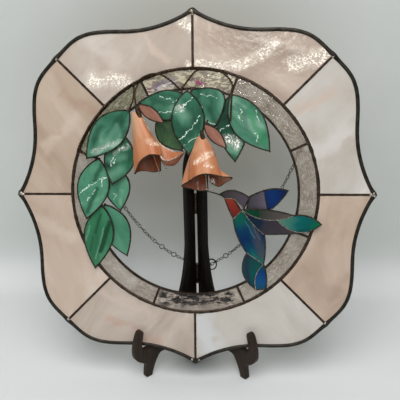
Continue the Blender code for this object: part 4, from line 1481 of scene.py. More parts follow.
DEEP = replace(GREEN, stops=((0, 0x0A2E21), (0.4, 0x1E523C), (0.75, 0x327054), (1, 0x589476)))
MINT = replace(GREEN, stops=((0, 0x1C523C), (0.3, 0x3A785C), (0.7, 0x569274), (1, 0x82B298)))
OLIVE = replace(GREEN, stops=((0, 0x182E1E), (0.5, 0x40623E), (1, 0x6A8E62)))
SHADE = 0x164834
PALE = 0x80B096
# On the leaves, the pale veins and white flakes are painted reflections and glints.
LEFT_LEAVES = [
    Leaf("leaf_left_1", (-70.4, 95.4), (-119.8, 43.2), 36, -1, 4,
        replace(GREEN,
        marks=(band((-80.1, 86.3), (-76.2, 65), 5, SHADE),
        band((-111.9, 61.7), (-102.1, 79.7), 5, SHADE, 0.9),
        band((-101.7, 56), (-84.9, 78.5), 4, 0x608E7A, 0.6),
        *flakes((-112.3, 51.5), (-80.9, 61.6), 3, GLINT_WHITE, 0.12, 0.6)))),
    Leaf("leaf_left_2", (-77.4, 67.6), (-92.2, 13.7), 34, 1, 3,
        replace(DEEP,
        marks=(band((-95.4, 40), (-79.1, 44.6), 6, 0x5C9276, 0.85),
        band((-94.7, 23.9), (-84.1, 30.9), 8, 0x689E82, 0.85),
        *painted_reflection_line((-95.5, 36.6), (-91.9, 40), (-88.3, 44.6)), *painted_reflection_line((-93.3, 33.2), (-87.2, 41.2)),
        *flakes((-87, 49.1), (-73, 55.9), 3, GLINT_WHITE, 0.15, 0.7)))),
    Leaf("leaf_left_3", (-107.5, 41.4), (-124.1, -27.1), 36, 0, 2,
        replace(MINT,
        marks=(Mark((-102.6, 37.6), (-112.7, 16.9), 4.5, SHADE, 0.75, 2, 40, 0.8),
        Mark((-110.7, 7.6), (-123.4, -19.5), 4, SHADE, 0.75, 2, 40, 0.8),
        *painted_reflection_line((-133.7, 0), (-120, 11), (-109.6, 16.5), (-100.5, 21.2)),
        *painted_reflection_line((-105.7, 10.5), (-104.7, 17.9), (-98.5, 21.2)), *painted_reflection_line((-132.1, -12.4), (-120, -3.5)),
        *painted_reflection_line((-117, 1.4), (-112.7, 5.5))))),
    Leaf("leaf_left_4", (-93.4, 34.2), (-85.2, -18.1), 30, 1, 1,
        replace(MINT,
        marks=(*painted_reflection_line((-93.4, 5.1), (-90.1, 0.5), (-91.4, -5.4), glint_glow=0.15),
        band((-83, 5.1), (-84.6, -10.1), 2.5, PALE, 0.7)))),
    Leaf("leaf_left_5", (-106.7, -13.5), (-117.1, -86.6), 34, 0, 1,
        replace(GREEN, stops=((0, 0x165436), (0.4, 0x2C704C), (0.7, 0x3E825E), (1, 0x6AA282)), stretch=5,
        contrast=1.5,
        marks=(Mark((-98.4, -32.8), (-110.3, -66.5), 4.5, 0x063E22, 0.95, 1.2, 40, 0.7),
        Mark((-108.7, -23.4), (-115.4, -44.9), 2.5, 0x104C30, 0.8, 1.2, 40, 0.8),
        Mark((-105.8, -40), (-115.4, -76.3), 1.6, PALE, 0.4, 1.8, 40, 0.95),
        Mark((-122.3, -37.7), (-127.7, -54.6), 2.2, PALE, 0.35, 1.8, 40, 0.95),
        Mark((-118, -49.7), (-122.2, -66.6), 2.2, 0x104C30, 0.6, 1, 40, 0.9)))),
    Leaf("leaf_left_6", (-104, -12.6), (-79.7, -72.5), 32, 1, 0, replace(MINT, stretch=3.5, contrast=1)),
]
TOP_LEAVES = [
    Leaf("leaf_top_1", (-6, 110), (-58.9, 105.1), 32, 6.5, 2,
        replace(GREEN,
        marks=(band((-45.2, 109.4), (-27.4, 103.8), 5, SHADE, 0.8), *painted_reflection_line((-36.2, 111.5), (-17.3, 105.2)),
        *painted_reflection_line((-43.5, 93.9), (-24.6, 94.5))))),
    Leaf("leaf_top_2", (-5.9, 116.7), (-4.4, 47.2), 36, 0, 3,
        replace(GREEN,
        marks=(band((-18.2, 102.6), (-9.5, 89.4), 8, PALE, 0.7),
        band((-11.9, 70.7), (4.9, 79.5), 7, SHADE, 0.9), *painted_reflection_line((-15.4, 62.1), (-2.7, 74.4), (8.3, 89.8)),
        *painted_reflection_line((-10, 57.4), (9.7, 69.7)), *painted_reflection_line((-22.8, 91.7), (-10.5, 96)),
        *painted_reflection_line((-13, 97.6), (-0.8, 109)), *flakes((-14.3, 97.6), (-11.6, 97.6), 4, GLINT_WHITE)))),
    Leaf("leaf_top_3", (-1, 117.5), (24.5, 77.5), 38, 8, 2,
        replace(GREEN,
        marks=(band((18.1, 95.8), (25.9, 83.7), 5, SHADE, 0.9),
        *painted_reflection_line((-1, 114.3), (5.1, 103.5), (12.8, 97.3)), *painted_reflection_line((8.3, 112.7), (27, 109.5), glint_glow=0.05),
        *painted_reflection_line((14.3, 83.5), (25.2, 79.6))))),
    Leaf("leaf_top_4", (41.3, 110.9), (47, 38.7), 34, 0, 1,
        replace(DEEP,
        marks=(band((35.7, 52.3), (48.1, 48.9), 6, PALE, 0.8), *painted_reflection_line((29.7, 72.4), (42.2, 80.1)),
        *flakes((36.9, 63.5), (50.3, 56.8), 7, GLINT_WHITE, 0.4)))),
    Leaf("leaf_top_5", (42.4, 112), (85.3, 50.2), 36, -2, 2,
        replace(GREEN,
        marks=(band((50.2, 97.8), (60.2, 73.6), 5, 0x4A7460, 0.8),
        band((64.5, 91.1), (79.1, 60.2), 5, 0x348A58, 0.8),
        *painted_reflection_line((50.7, 97.8), (54.6, 94), (50.8, 90.1), (54.7, 83.5)),
        *painted_reflection_line((69.4, 70.9), (72.4, 66.2), (71, 60.8)), *painted_reflection_line((70, 94.4), (73.4, 83.4), glint_glow=0.05)))),
    Leaf("leaf_top_6", (-40, 86), (-13, 51), 27, 0, 1, OLIVE),
]


@dataclass
class LeafSpray:
    """A spray of overlapping leaves, each with foil and solder round its edge."""

    leaves: list[Leaf]  # Its leaves
    seams: str  # Name of the node of its seams
    foil: float = 1.0 * MM  # Half the width of the seam round a leaf

    def build(self, bench: Bench) -> None:
        """Lays the leaves.

        Args:
            bench: Where they go.
        """
        metal = [FOIL_METAL.material(f"{self.seams}_metal", 3.0)]
        for number, leaf in enumerate(self.leaves):
            leaf.lay(bench, leaf.name, 1.7 * number + len(self.seams), Slot.GREEN, leaf.name)
            foil = Skin()
            foil.bead(leaf.edge(LEAF_STEPS), self.foil, FOIL_DEPTH / 2, closed=True, lump=0.16,
                      seed=number)
            foil.drop(leaf.spot(0, 0), (1.7, 2.0, 1.9), 0.2, number, leaf.turn())
            foil.drop(leaf.spot(1, 0), (1.2, 1.9, 1.6), 0.2, number + 5, leaf.turn())
            bench.lay(f"{leaf.name}_foil", foil, metal, Slot.SOLDER, self.seams)


class Petal(Enum):
    """The three bent panes of a flower."""

    FRONT = "front"
    RIGHT = "right"
    LEFT = "left"


Sheet = tuple[tuple[Place, ...], ...]


@dataclass
class Flower:
    """A trumpet flower of three bent panes under a calyx of wound wire."""

    name: str  # Start of the names of its nodes
    calyx: Place  # Its narrow end, in millimetres on the panel and in front of it
    mouth: Place  # Middle of its mouth
    petals: dict[Petal, Sheet]  # Points of each pane's outside, in columns from the calyx to the mouth
    sepal: Leaf  # Its sepal
    stem: list[Place]  # Wire from the vine to the calyx
    stamens: list[Place]  # Ends of its stamens
    looks: dict[Petal, GlassFinish]  # Glass of each pane
    bright: Petal | None = None  # The pane whose edge is bright solder
    turned: Petal = Petal.LEFT  # The pane whose outside is seen from the other side of its points
    thickness: float = 1.7 * MM  # Thickness of a pane
    edge: float = 0.85 * MM  # Half the width of the solder round a pane
    fine: int = 5  # Steps between two points of a pane

    def __post_init__(self) -> None:
        """Works out the bell's own axes."""
        self.top, self.end = millimetres((self.calyx, self.mouth))
        self.axis = self.end - self.top
        down = self.axis.normalized()
        self.forward = (UP - down * down.z).normalized()
        self.right = self.forward.cross(down) * -1

    def sheet(self, petal: Petal, depth: float) -> list[list[Vector]]:
        """A smooth sheet through a pane's points, or at a depth below it.

        Args:
            petal: Which pane.
            depth: Distance in from its outside.

        Returns:
            Rows of points from the calyx to the mouth.
        """
        columns = [smooth_curve(millimetres(column), self.fine) for column in self.petals[petal]]
        rows = [smooth_curve(row, self.fine) for row in zip(*columns)]
        found = []
        way = -1 if petal is self.turned else 1
        for i, row in enumerate(rows):
            up, down = rows[max(i - 1, 0)], rows[min(i + 1, len(rows) - 1)]
            line = []
            for j, point in enumerate(row):
                across = row[min(j + 1, len(row) - 1)] - row[max(j - 1, 0)]
                inward = across.cross(down[j] - up[j]).normalized()
                uneven = 0.12 * MM * lumps(point, 7 * MM, 1)
                line.append(point + inward * way * (depth + uneven))
            found.append(line)
        return found

    def pane(self, petal: Petal) -> Skin:
        """One bent pane; its inside takes a darker copy of its peach glass, painted shade."""
        skin = Skin()
        skin.slab(self.sheet(petal, 0.0), self.sheet(petal, self.thickness), inside=1)
        return skin

    def edging(self, petal: Petal) -> Skin:
        """Solder round one pane.

        Args:
            petal: Which pane.

        Returns:
            Its shape.
        """
        middle = self.sheet(petal, self.thickness / 2)
        line = [row[0] for row in middle] + middle[-1][1:-1]
        line = even_steps(line + [row[-1] for row in reversed(middle)], 1.1 * MM)
        skin = Skin()
        skin.tube(line, [self.edge * (1 + 0.18 * lumps(p, 3 * MM, 4)) for p in line])
        for corner in (middle[-1][0], middle[-1][-1]):
            skin.drop(corner, (1.2, 1.1, 1.2), 0.2, 2, fine=7)
        return skin

    def wrap(self) -> Skin:
        """The calyx: a tapered core with wire wound round it, and the stem."""
        skin = Skin()
        skin.tube([self.top + self.axis * share for share in (-0.05, 0.0, 0.06, 0.12, 0.2)],
                  [radius * MM for radius in (0.9, 1.5, 2.2, 2.6, 2.2)], 16)
        coil = []
        turns, steps = 5, 16
        for k in range(turns * steps + 1):
            share = k / (turns * steps)
            angle = math.tau * k / steps
            out = self.forward * math.cos(angle) + self.right * math.sin(angle)
            coil.append(self.top + self.axis * (0.16 * share - 0.04)
                        + out * (1.2 + 1.7 * share ** 0.8) * MM)
        skin.tube(coil, 0.55 * MM, 6)
        stem = smooth_curve(millimetres(self.stem), 10)
        skin.tube(stem, [1.0 * MM * (1 + 0.1 * lumps(p, 4 * MM, 2)) for p in stem])
        return skin

    def threads(self) -> Skin:
        """Stamens of wire with drops of solder on their ends."""
        skin = Skin()
        for number, end in enumerate(millimetres(self.stamens)):
            root = self.top + self.axis * 0.45
            bend = root.lerp(end, 0.55) + self.forward * (2.5 - number * 1.5) * MM
            skin.tube(smooth_curve([root, bend, end], 10), 0.4 * MM, 6)
            skin.drop(end, (1.25, 1.3, 1.2), 0.15, number, fine=7)
        return skin

    def build(self, bench: Bench) -> None:
        """Lays the flower.

        Args:
            bench: Where its pieces go.
        """
        seed = abs(self.calyx[0])
        metal = [FOIL_METAL.material(f"{self.name}_metal", seed)]
        silver = [SILVER_METAL.material(f"{self.name}_bright_metal", seed)]
        seams = f"{self.name}_seams"
        spot = bench.frame(self.end, heading(self.axis))
        # The panes' insides take the darker copy of the peach glass: painted shade.
        inner = SHADED_PEACH.material(f"{self.name}_inside", seed, spot)
        for number, petal in enumerate(Petal):
            name = f"{self.name}_petal_{petal.value}"
            outer = self.looks[petal].material(name, seed + number, spot)
            bench.lay(name, self.pane(petal), [outer, inner], Slot.PEACH, name)
            bench.lay(f"{name}_edge", self.edging(petal),
                      silver if petal is self.bright else metal, Slot.SOLDER, seams)
        bench.lay(f"{self.name}_calyx", self.wrap(),
                  [VINE_METAL.material(f"{self.name}_wire", seed)], Slot.VINE, seams)
        bench.lay(f"{self.name}_stamens", self.threads(), silver, Slot.SOLDER, seams)
        name = f"{self.name}_sepal"
        self.sepal.lay(bench, name, seed, Slot.ROSE, name)
        foil = Skin()
        foil.bead(self.sepal.edge(20), 0.9 * MM, FOIL_DEPTH / 2, closed=True, lump=0.15, seed=seed)
        bench.lay(f"{name}_foil", foil, metal, Slot.SOLDER, seams)


def sepal_leaf(start: Flat, end: Flat, width: float, height: float) -> Leaf:
    """A sepal as a narrow leaf whose middle is at a height."""
    layer = (height * MM - FIRST_LAYER) / LAYER_STEP + 1
    return Leaf("sepal", start, end, width, 0.0, layer, ROSE)


LEFT_FRONT = (
    ((-66.4, 93.5, 18.5), (-66.2, 77.5, 18.5), (-65.8, 59, 19), (-65.7, 41.5, 20), (-64.6, 26.8, 22)),
    ((-63.3, 94.5, 21), (-61.6, 78, 24), (-59.9, 63.1, 27), (-58.5, 51.3, 29.5), (-57.4, 40.7, 31)),
    ((-60.3, 94.5, 22), (-56.2, 79.2, 26.5), (-52.3, 66.6, 30.5), (-49.1, 57, 33.5), (-47.3, 48.7, 36)),
    ((-57.6, 94, 21), (-51.4, 79.5, 25.5), (-45, 67.6, 30), (-40.6, 58.1, 33), (-38.9, 49.5, 36)),
    ((-55.6, 92.5, 18.5), (-48.3, 77.2, 21), (-39.9, 64.1, 24), (-34.4, 56, 28), (-33.2, 47.8, 31.5)),
)
LEFT_BACK = (
    ((-64.4, 87.1, 18.5), (-65.2, 74.6, 17.5), (-65.5, 58.1, 18), (-65.7, 41.4, 19), (-64.7, 26.7, 21.5)),
    ((-64.2, 86.9, 16.5), (-65.1, 74.4, 13), (-65.2, 57.5, 11.5), (-64.2, 41.8, 11.5), (-61.5, 28.2, 13)),
    ((-61.8, 86.6, 15.5), (-60.7, 74.2, 11), (-57.5, 58.4, 8.5), (-55.1, 42.6, 8), (-53.6, 28.4, 9)),
    ((-59.5, 86.6, 16), (-53.8, 74.8, 11.5), (-48.3, 61.8, 9), (-44.8, 44.9, 8.5), (-43.9, 27.1, 9.5)),
    ((-58, 86.9, 18), (-49.3, 74.7, 17), (-41.5, 62.8, 15.5), (-36.5, 47.7, 14.5), (-35.6, 29.5, 15)),
)
LEFT_RIGHT = (
    ((-55.4, 92.3, 18.4), (-44.2, 69.8, 22.5), (-33.2, 47.8, 31), (-27.6, 42.6, 33), (-18, 44.8, 31),
        (-9.8, 50.8, 24.5)),
    ((-57.5, 86.8, 18), (-44.2, 68.5, 20.5), (-32.8, 44.3, 28.5), (-27, 39.4, 31), (-17.6, 40.8, 29.5),
        (-9.7, 50.4, 24.2)),
    ((-57.5, 86.6, 17.2), (-44.1, 68.2, 18), (-33.1, 42, 23), (-26.3, 37.5, 26), (-18.6, 39, 26),
        (-9.7, 50.3, 23.6)),
    ((-57.8, 86.7, 16.4), (-44.8, 68.9, 15), (-33.7, 48.5, 17), (-26.5, 43.9, 19.5), (-18.7, 44.1, 21.5),
        (-9.9, 50.4, 23)),
    ((-58.1, 86.8, 15.8), (-45.6, 69.6, 12.5), (-34.4, 57.1, 13), (-26.3, 52.4, 15), (-18.2, 50, 18),
        (-10.2, 50.7, 22.5)),
)
CENTRE_FRONT = (
    ((5.2, 66.4, 19), (0.8, 54.5, 18.5), (-2.3, 43.2, 20), (-3.2, 31.9, 23.5), (-2.8, 19.8, 27.5)),
    ((7.8, 67.8, 21.5), (5.8, 56.4, 24), (4.2, 45.5, 27.5), (4, 36.1, 31.5), (5, 25.8, 35)),
    ((10.6, 68.6, 22.5), (11.2, 57.8, 26.5), (12.2, 47.5, 30.5), (13.4, 38.6, 34.5), (14.2, 28.8, 38)),
    ((13, 68.2, 21.5), (16.2, 57.8, 25.5), (19.6, 47.9, 29.5), (22.2, 38.5, 33.5), (23.9, 27.8, 36.5)),
    ((15, 66.6, 19), (20.8, 57.6, 20.5), (25.5, 47.3, 23.5), (29.1, 36.2, 27.5), (32.4, 25, 30.5)),
)
CENTRE_BACK = (
    ((5.5, 63.2, 18.5), (0.5, 53.4, 17.5), (-2.7, 43.1, 19), (-3.9, 31.7, 22), (-3.4, 19, 26.5)),
    ((5.6, 62.9, 17), (-0.5, 52, 14), (-5.4, 39.8, 14), (-9.4, 26.5, 16), (-12.7, 12.8, 20)),
    ((6.9, 62.6, 16), (1.6, 50.6, 11), (-1.7, 37, 9.5), (-3.2, 23, 10.5), (-2.6, 8.7, 13)),
    ((8.9, 62.3, 15.6), (7.6, 49.4, 9.5), (6.5, 35.1, 7.5), (6.2, 20.4, 8), (6.7, 6.2, 10.5)),
    ((11.3, 62.6, 16.2), (14.5, 50.7, 11.5), (16.2, 37.1, 10.5), (16.6, 22, 11.5), (16.7, 6.9, 14)),
)
CENTRE_RIGHT = (
    ((12.9, 63, 18.6), (20.1, 55.6, 19.8), (25.1, 46.1, 22.5), (28.6, 35.6, 26.5), (32.3, 24.6, 29.8)),
    ((13.2, 62.8, 17.8), (20.4, 54.3, 17.5), (25.1, 44.1, 18.5), (30.4, 31.1, 21.5), (44.3, 23, 25.5)),
    ((12.9, 62.6, 17), (19.8, 53.1, 14), (24.3, 41.9, 13.5), (29.1, 28.7, 15.5), (37, 16.8, 18.5)),
    ((12.4, 62.6, 16.4), (18.3, 52.4, 11.8), (22.2, 40.5, 10.5), (25.6, 26, 11.5), (28.7, 11.5, 14.5)),
    ((11.5, 62.6, 16.2), (15.4, 51.2, 11.5), (17.5, 38.3, 10.5), (18.3, 26.5, 11.5), (19.4, 16.1, 13.5)),
)
# Colour of the painted glints on the flowers.
GLINT_PEACH = 0xF0D6BE
PEACH_FRONT = replace(PEACH, flake=170, flake_width=0.14,
    marks=(*flakes((-46.5, 63), (-36, 60.5), 3.2, GLINT_PEACH, 0.1),
    band((-49.7, 83.6), (-42.9, 70.8), 4, 0xC47854, 0.6)))
CENTRE_GLASS = replace(PEACH, flake=170, flake_width=0.14,
    marks=(*flakes((5.5, 40.5), (19.5, 49.5), 4, GLINT_PEACH, 0.1),
    *flakes((15, 37), (22.5, 36), 2.2, GLINT_PEACH, 0.1),
    band((11.2, 61.6), (15.6, 53.1), 4, 0xC4744E, 0.6)))
FLOWERS = [
    Flower("flower_left", (-60.5, 99, 21), (-41, 46, 26),
        {Petal.FRONT: LEFT_FRONT, Petal.LEFT: LEFT_BACK, Petal.RIGHT: LEFT_RIGHT},
        sepal_leaf((-58.5, 102), (-31, 82.5), 12, 19.5),
        [(-61, 124.5, 5.5), (-63.5, 117, 12), (-62.5, 108, 18), (-60.5, 98, 21)],
        [(-35.4, 25.6, 22), (-29.1, 31.7, 22)],
        {Petal.FRONT: PEACH_FRONT, Petal.LEFT: PEACH, Petal.RIGHT: PEACH}, Petal.RIGHT),
    Flower("flower_centre", (11, 72, 21), (15.5, 22, 26),
        {Petal.FRONT: CENTRE_FRONT, Petal.LEFT: CENTRE_BACK, Petal.RIGHT: CENTRE_RIGHT},
        sepal_leaf((13.5, 80.5), (37.5, 54.5), 12.5, 18.5),
        [(16.8, 84.5, 10.3), (15, 80.5, 13), (11.8, 74, 19.5)], [(21.8, 8.3, 22), (16.2, 9.4, 22)],
        {Petal.FRONT: CENTRE_GLASS, Petal.LEFT: PEACH, Petal.RIGHT: PEACH}),
]


# ---- hummingbird

BIRD_POINTS = {
    "beak_top": (31, 1), "crown": (46, 5), "nape": (63, -3), "shoulder": (57, -16.5),
    "cheek": (45.5, -4.2), "beak_low": (35.5, -3.6), "wing_root": (54, -18.5), "breast": (45.4, -27.5),
    "waist": (61, -67.5), "rump": (80, -81), "hip": (80.5, -44.5), "tail_mid": (71.5, -111),
    "tail_end": (83, -110), "far_low": (60.5, -18.5), "far_split_low": (84.5, -18),
    "far_split_top": (79.7, 4.4), "far_low_end": (90, -15.5), "far_tip": (107, 4.4),
    "near_root": (55.5, -16.9), "near_cross": (95, -28), "near_notch": (113, -23.2),
    "near_tip": (144.3, -33.2), "near_under": (129, -41.9), "near_hip": (79.5, -44.6),
}
BEAK = [(33.6, -1.2), (29.5, 0.2), (22.0, 2.6), (13.8, 4.4)]


class Edge(Enum):
    """How the solder on an edge of the bird looks: half its width and its share of the depth."""

    DARK = (1.0, 0.92)
    SILVER = (0.72, 1.02)


@dataclass(frozen=True)
class BirdPane:
    """One pane of the bird."""

    name: str  # Name of its node
    slot: Slot  # Its slot
    finish: GlassFinish  # Its glass
    # Corner, rise of the arc that follows, and look of that arc's solder
    edges: tuple[tuple[str, float, Edge], ...]
    layer: int  # Layer that it lies in
    start: Flat  # Where its colours start on the panel, in millimetres
    end: Flat  # Where they run to

    def loop(self, steps: int) -> list[Vector]:
        """Its outline, anticlockwise.

        Args:
            steps: Steps along each edge.

        Returns:
            The points.
        """
        found = []
        for (corner, rise, _), (following, *_) in zip(self.edges,
                                                      self.edges[1:] + self.edges[:1]):
            start, end = millimetres((BIRD_POINTS[corner], BIRD_POINTS[following]))
            found += arc_to(start, end, rise * MM, steps)
        return found

    def height(self) -> float:
        """Height of its middle in front of the panel's."""
        return FAR_WING + self.layer * LAYER_STEP


def along_pane(finish: GlassFinish, *stops: tuple[float, Colour], length: float,
               contrast: float = 0.45, marks: tuple[Mark, ...] = ()) -> GlassFinish:
    """A finish whose colours run along a pane over a length in millimetres."""
    return replace(finish, stops=stops, slope=1 / (length * MM), middle=0.0,
                   contrast=contrast, marks=marks)


DARK, SILVER = Edge.DARK, Edge.SILVER
BIRD_PANES = [
    BirdPane("bird_head", Slot.SLATE,
        along_pane(SLATE, (0, 0x3A3533), (0.4, 0x443E41), (0.75, 0x4C444F), (1, 0x3E3D49), length=36),
        (("beak_top", 0, DARK), ("beak_low", 0, SILVER), ("cheek", -0.8, SILVER), ("shoulder", 0, DARK),
        ("nape", 1, DARK), ("crown", 1.6, DARK)), 1, (31, 1), (62, -12)),
    BirdPane("bird_throat", Slot.RED,
        along_pane(RED, (0, 0x8A3219), (0.5, 0x7E2112), (1, 0x59150C), length=26),
        (("beak_low", 0.6, DARK), ("breast", 0, SILVER), ("wing_root", 0, DARK), ("cheek", 0, SILVER)), 1,
        (38, -2), (50, -25)),
    BirdPane("bird_body", Slot.BLUE,
        along_pane(BLUE, (0, 0x0D5442), (0.2, 0x0F5449), (0.38, 0x0C3856), (0.6, 0x092850),
        (0.78, 0x0A3F56), (1, 0x13645D), length=58, contrast=0.6,
        marks=(band((70, -36), (79, -74), 6, 0x44444C, 0.9),
        band((64, -30), (68, -52), 3.5, 0x0C4654, 0.6),
        Mark((58, -31), (70, -50), 0.7, 0x608296, 0.5, 1.2, 60, 0.9),
        Mark((66, -34), (76, -52), 0.6, 0x687E92, 0.45, 1.2, 60, 0.9))), (("breast", 3.2, DARK),
        ("waist", 0, SILVER), ("rump", 1.6, DARK), ("hip", 1.5, SILVER), ("wing_root", 0, SILVER)), 1,
        (52, -21), (72, -76)),
    BirdPane("bird_tail_left", Slot.TEAL,
        along_pane(TEAL, (0, 0x1D3F44), (0.3, 0x0D4645), (0.55, 0x094C49), (1, 0x0A3747), length=40,
        contrast=0.8, marks=(band((59, -72), (64, -104), 4.5, 0x232337, 0.95),)),
        (("waist", 10, DARK), ("tail_mid", -4.6, SILVER), ("rump", 0, SILVER)), 1, (64, -70), (66, -106)),
    BirdPane("bird_tail_right", Slot.BLUE,
        along_pane(BLUE, (0, 0x083D4E), (0.3, 0x09376A), (0.7, 0x104676), (1, 0x10475A), length=30,
        contrast=0.9), (("tail_mid", 0.8, DARK), ("tail_end", 2, DARK), ("rump", 4.6, SILVER)), 1,
        (80, -82), (77, -111)),
    BirdPane("bird_far_wing_inner", Slot.SLATE,
        along_pane(SLATE, (0, 0x413F44), (0.5, 0x504A53), (1, 0x635B6B), length=22, contrast=0.7),
        (("nape", 0, DARK), ("far_low", 0, DARK), ("far_split_low", 0, DARK),
        ("far_split_top", 0.5, DARK)), 0, (62, -6), (83, -6)),
    BirdPane("bird_far_wing_outer", Slot.BLUE,
        along_pane(BLUE, (0, 0x122A58), (0.5, 0x0F2E62), (1, 0x0F2147), length=26, contrast=0.8),
        (("far_split_low", 0, DARK), ("far_low_end", 1, DARK), ("far_tip", 2.2, DARK),
        ("far_split_top", 0, DARK)), 0, (80, -6), (105, 0)),
    BirdPane("bird_near_wing_top", Slot.TEAL,
        along_pane(TEAL, (0, 0x09432B), (0.34, 0x0A3726), (0.42, 0x343833), (0.65, 0x474441),
        (1, 0x5A504B), length=54, contrast=0.3),
        (("near_root", 4, SILVER), ("near_cross", 0.5, SILVER), ("near_notch", 3.2, DARK)), 2, (56, -18),
        (110, -22)),
    BirdPane("bird_near_wing_middle", Slot.SLATE,
        along_pane(SLATE, (0, 0x0F202F), (0.26, 0x122337), (0.34, 0x312F37), (0.7, 0x3B353B),
        (1, 0x473D41), length=62, contrast=0.25), (("near_root", 1.5, SILVER), ("near_hip", 1, DARK),
        ("near_under", -5.2, SILVER), ("near_cross", -4, SILVER)), 2, (62, -28), (124, -42)),
    BirdPane("bird_near_wing_tip", Slot.TEAL,
        along_pane(TEAL, (0, 0x5D7C6C), (0.28, 0x3A7064), (0.5, 0x0C5C5A), (0.78, 0x0A5452),
        (1, 0x10633B), length=46, contrast=0.6, marks=(band((108, -41), (136, -41), 3, 0x0A2E31, 0.8),)),
        (("near_cross", 5.2, SILVER), ("near_under", 0.6, DARK), ("near_tip", 4.2, DARK),
        ("near_notch", -0.5, SILVER)), 2, (97, -29), (142, -33)),
]


@dataclass
class Hummingbird:
    """The bird: ten panes in three layers, their solder, and the beak."""

    fine: int = 12  # Steps along an edge

    def edging(self, pane: BirdPane, look: Edge) -> Skin:
        """Solder on those edges of a pane that have one look.

        Args:
            pane: The pane.
            look: Which edges.

        Returns:
            The beads.
        """
        loop = [point + UP * pane.height() for point in pane.loop(self.fine)]
        wide, share = look.value
        deep = FOIL_DEPTH / 2 * share
        skin = Skin()
        for number, (_, _, own) in enumerate(pane.edges):
            if own is not look:
                continue
            line = [loop[(number * self.fine + k) % len(loop)] for k in range(self.fine + 1)]
            skin.bead(line, wide * MM, deep, lump=0.14, seed=number + pane.layer * 7)
            for end, seed in ((line[0], number), (line[-1], number + 4)):
                skin.drop(end, (wide * 1.15, wide * 1.15, deep / MM), 0.15, seed, fine=7)
        return skin

    def beak(self, height: float) -> Skin:
        """The long thin beak at a height, a little bent, and the drop where it joins the head."""
        skin = Skin()
        line = [p + UP * height for p in smooth_curve(millimetres(BEAK), 10)]
        last = len(line) - 1
        skin.tube(line, [(1.35 - 0.85 * (k / last) ** 0.8) * MM for k in range(last + 1)], 12)
        skin.drop(line[0], (1.9, 1.6, 1.6), 0.15, 2)
        return skin

    def build(self, bench: Bench) -> None:
        """Lays the bird.

        Args:
            bench: Where its pieces go.
        """
        metals = {Edge.DARK: FOIL_METAL.material("bird_edge_metal", 4.0),
                  Edge.SILVER: SILVER_METAL.material("bird_seam_metal", 5.0)}
        for number, pane in enumerate(BIRD_PANES):
            start, end = millimetres((pane.start, pane.end))
            glass = Skin()
            glass.loft([[p + UP * (pane.height() + way * THIN_GLASS / 2)
                         for p in pane.loop(self.fine)] for way in (-1, 1)])
            spot = bench.frame(start + UP * pane.height(), heading(end - start))
            bench.lay(pane.name, glass, [pane.finish.material(pane.name, 2.9 * number, spot)],
                      pane.slot, pane.name)
            for look, metal in metals.items():
                if any(own is look for _, _, own in pane.edges):
                    bench.lay(f"{pane.name}_{look.name.lower()}", self.edging(pane, look),
                              [metal], Slot.SOLDER, "bird_seams")
        bench.lay("bird_beak", self.beak(FAR_WING + LAYER_STEP), [metals[Edge.DARK]],
                  Slot.SOLDER, "bird_seams")


# ---- vine and chain

VINE_ARCHES = [
    [(-64, 126, 3.6), (-54.4, 132.3, 6), (-44.3, 135.4, 9), (-35.5, 134.8, 10), (-27.8, 130.9, 11),
        (-19.1, 123.8, 12), (-11, 116.5, 13)],
    [(-12.5, 118, 13), (-4.7, 128.5, 9), (2, 137.1, 5), (9, 141, 3.6)],
    [(30, 138.2, 3.6), (38, 132, 6), (43.6, 124, 9), (43.2, 113, 10.2), (42, 84.8, 10.2)],
    [(-66, 124.5, 3.6), (-65.5, 114, 9), (-66, 106, 14.5), (-69.5, 97, 16.6)],
]
VINE_HOOK = [
    (-119.4, 43.6, 11), (-122.5, 46.5, 10.5), (-126.5, 50.5, 7.5), (-130.5, 55.0, 3.4),
]


@dataclass
class Vine:
    """Twisted wire over the ring's outer seam, and the arches that leave it for the leaves."""

    first: float = -69.5  # Angle where it starts, in degrees clockwise from the top
    last: float = 14.0  # Angle where it ends
    strand: float = 0.78 * MM  # Half the thickness of one strand
    twist: float = 6.5 * MM  # Length of one full turn of the strands
    step: float = 0.8 * MM  # Distance between points of a strand

    def rope(self, path: Sequence[Vector], strand: float) -> Skin:
        """Two strands twisted round a path.

        Args:
            path: Points along its middle.
            strand: Half the thickness of one strand.

        Returns:
            Its shape.
        """
        line = even_steps(path, self.step)
        skin = Skin()
        for half in (0.0, math.pi):
            strands = []
            for i, point in enumerate(line):
                along = direction(line, i)
                side = along.cross(UP).normalized()
                angle = half + math.tau * i * self.step / self.twist
                out = side * math.cos(angle) + side.cross(along) * math.sin(angle)
                wander = UP * 0.15 * MM * lumps(point, 5 * MM, half)
                strands.append(point + out * strand * 1.02 + wander)
            skin.tube(strands, strand)
        return skin

    def build(self, bench: Bench) -> None:
        """Lays the vine.

        Args:
            bench: Where its pieces go.
        """
        metal = [VINE_METAL.material("vine_metal", 2.0)]
        first, last = math.radians(self.first), math.radians(self.last)
        run = [clockwise(angle, SEAM_OUTER_RADIUS + 0.5 * MM * math.sin(angle * 9), 3.5 * MM)
               for angle in (first + (last - first) * k / 160 for k in range(161))]
        skins = {"vine": self.rope(run, self.strand)}
        for number, arch in enumerate(VINE_ARCHES):
            path = smooth_curve(millimetres(arch), 14)
            skin = self.rope(path, (0.64 - 0.03 * number) * MM)
            for spot, size in ((path[0], 1.5), (path[-1], 1.3)):
                skin.drop(spot, (size, size, size * 0.8), 0.25, number)
            skins[f"vine_arch_{number + 1}"] = skin
        skins["vine_hook"] = Skin()
        skins["vine_hook"].tube(smooth_curve(millimetres(VINE_HOOK), 8), 0.75 * MM)
        for name, skin in skins.items():
            bench.lay(name, skin, metal, Slot.VINE, "vine_wire")


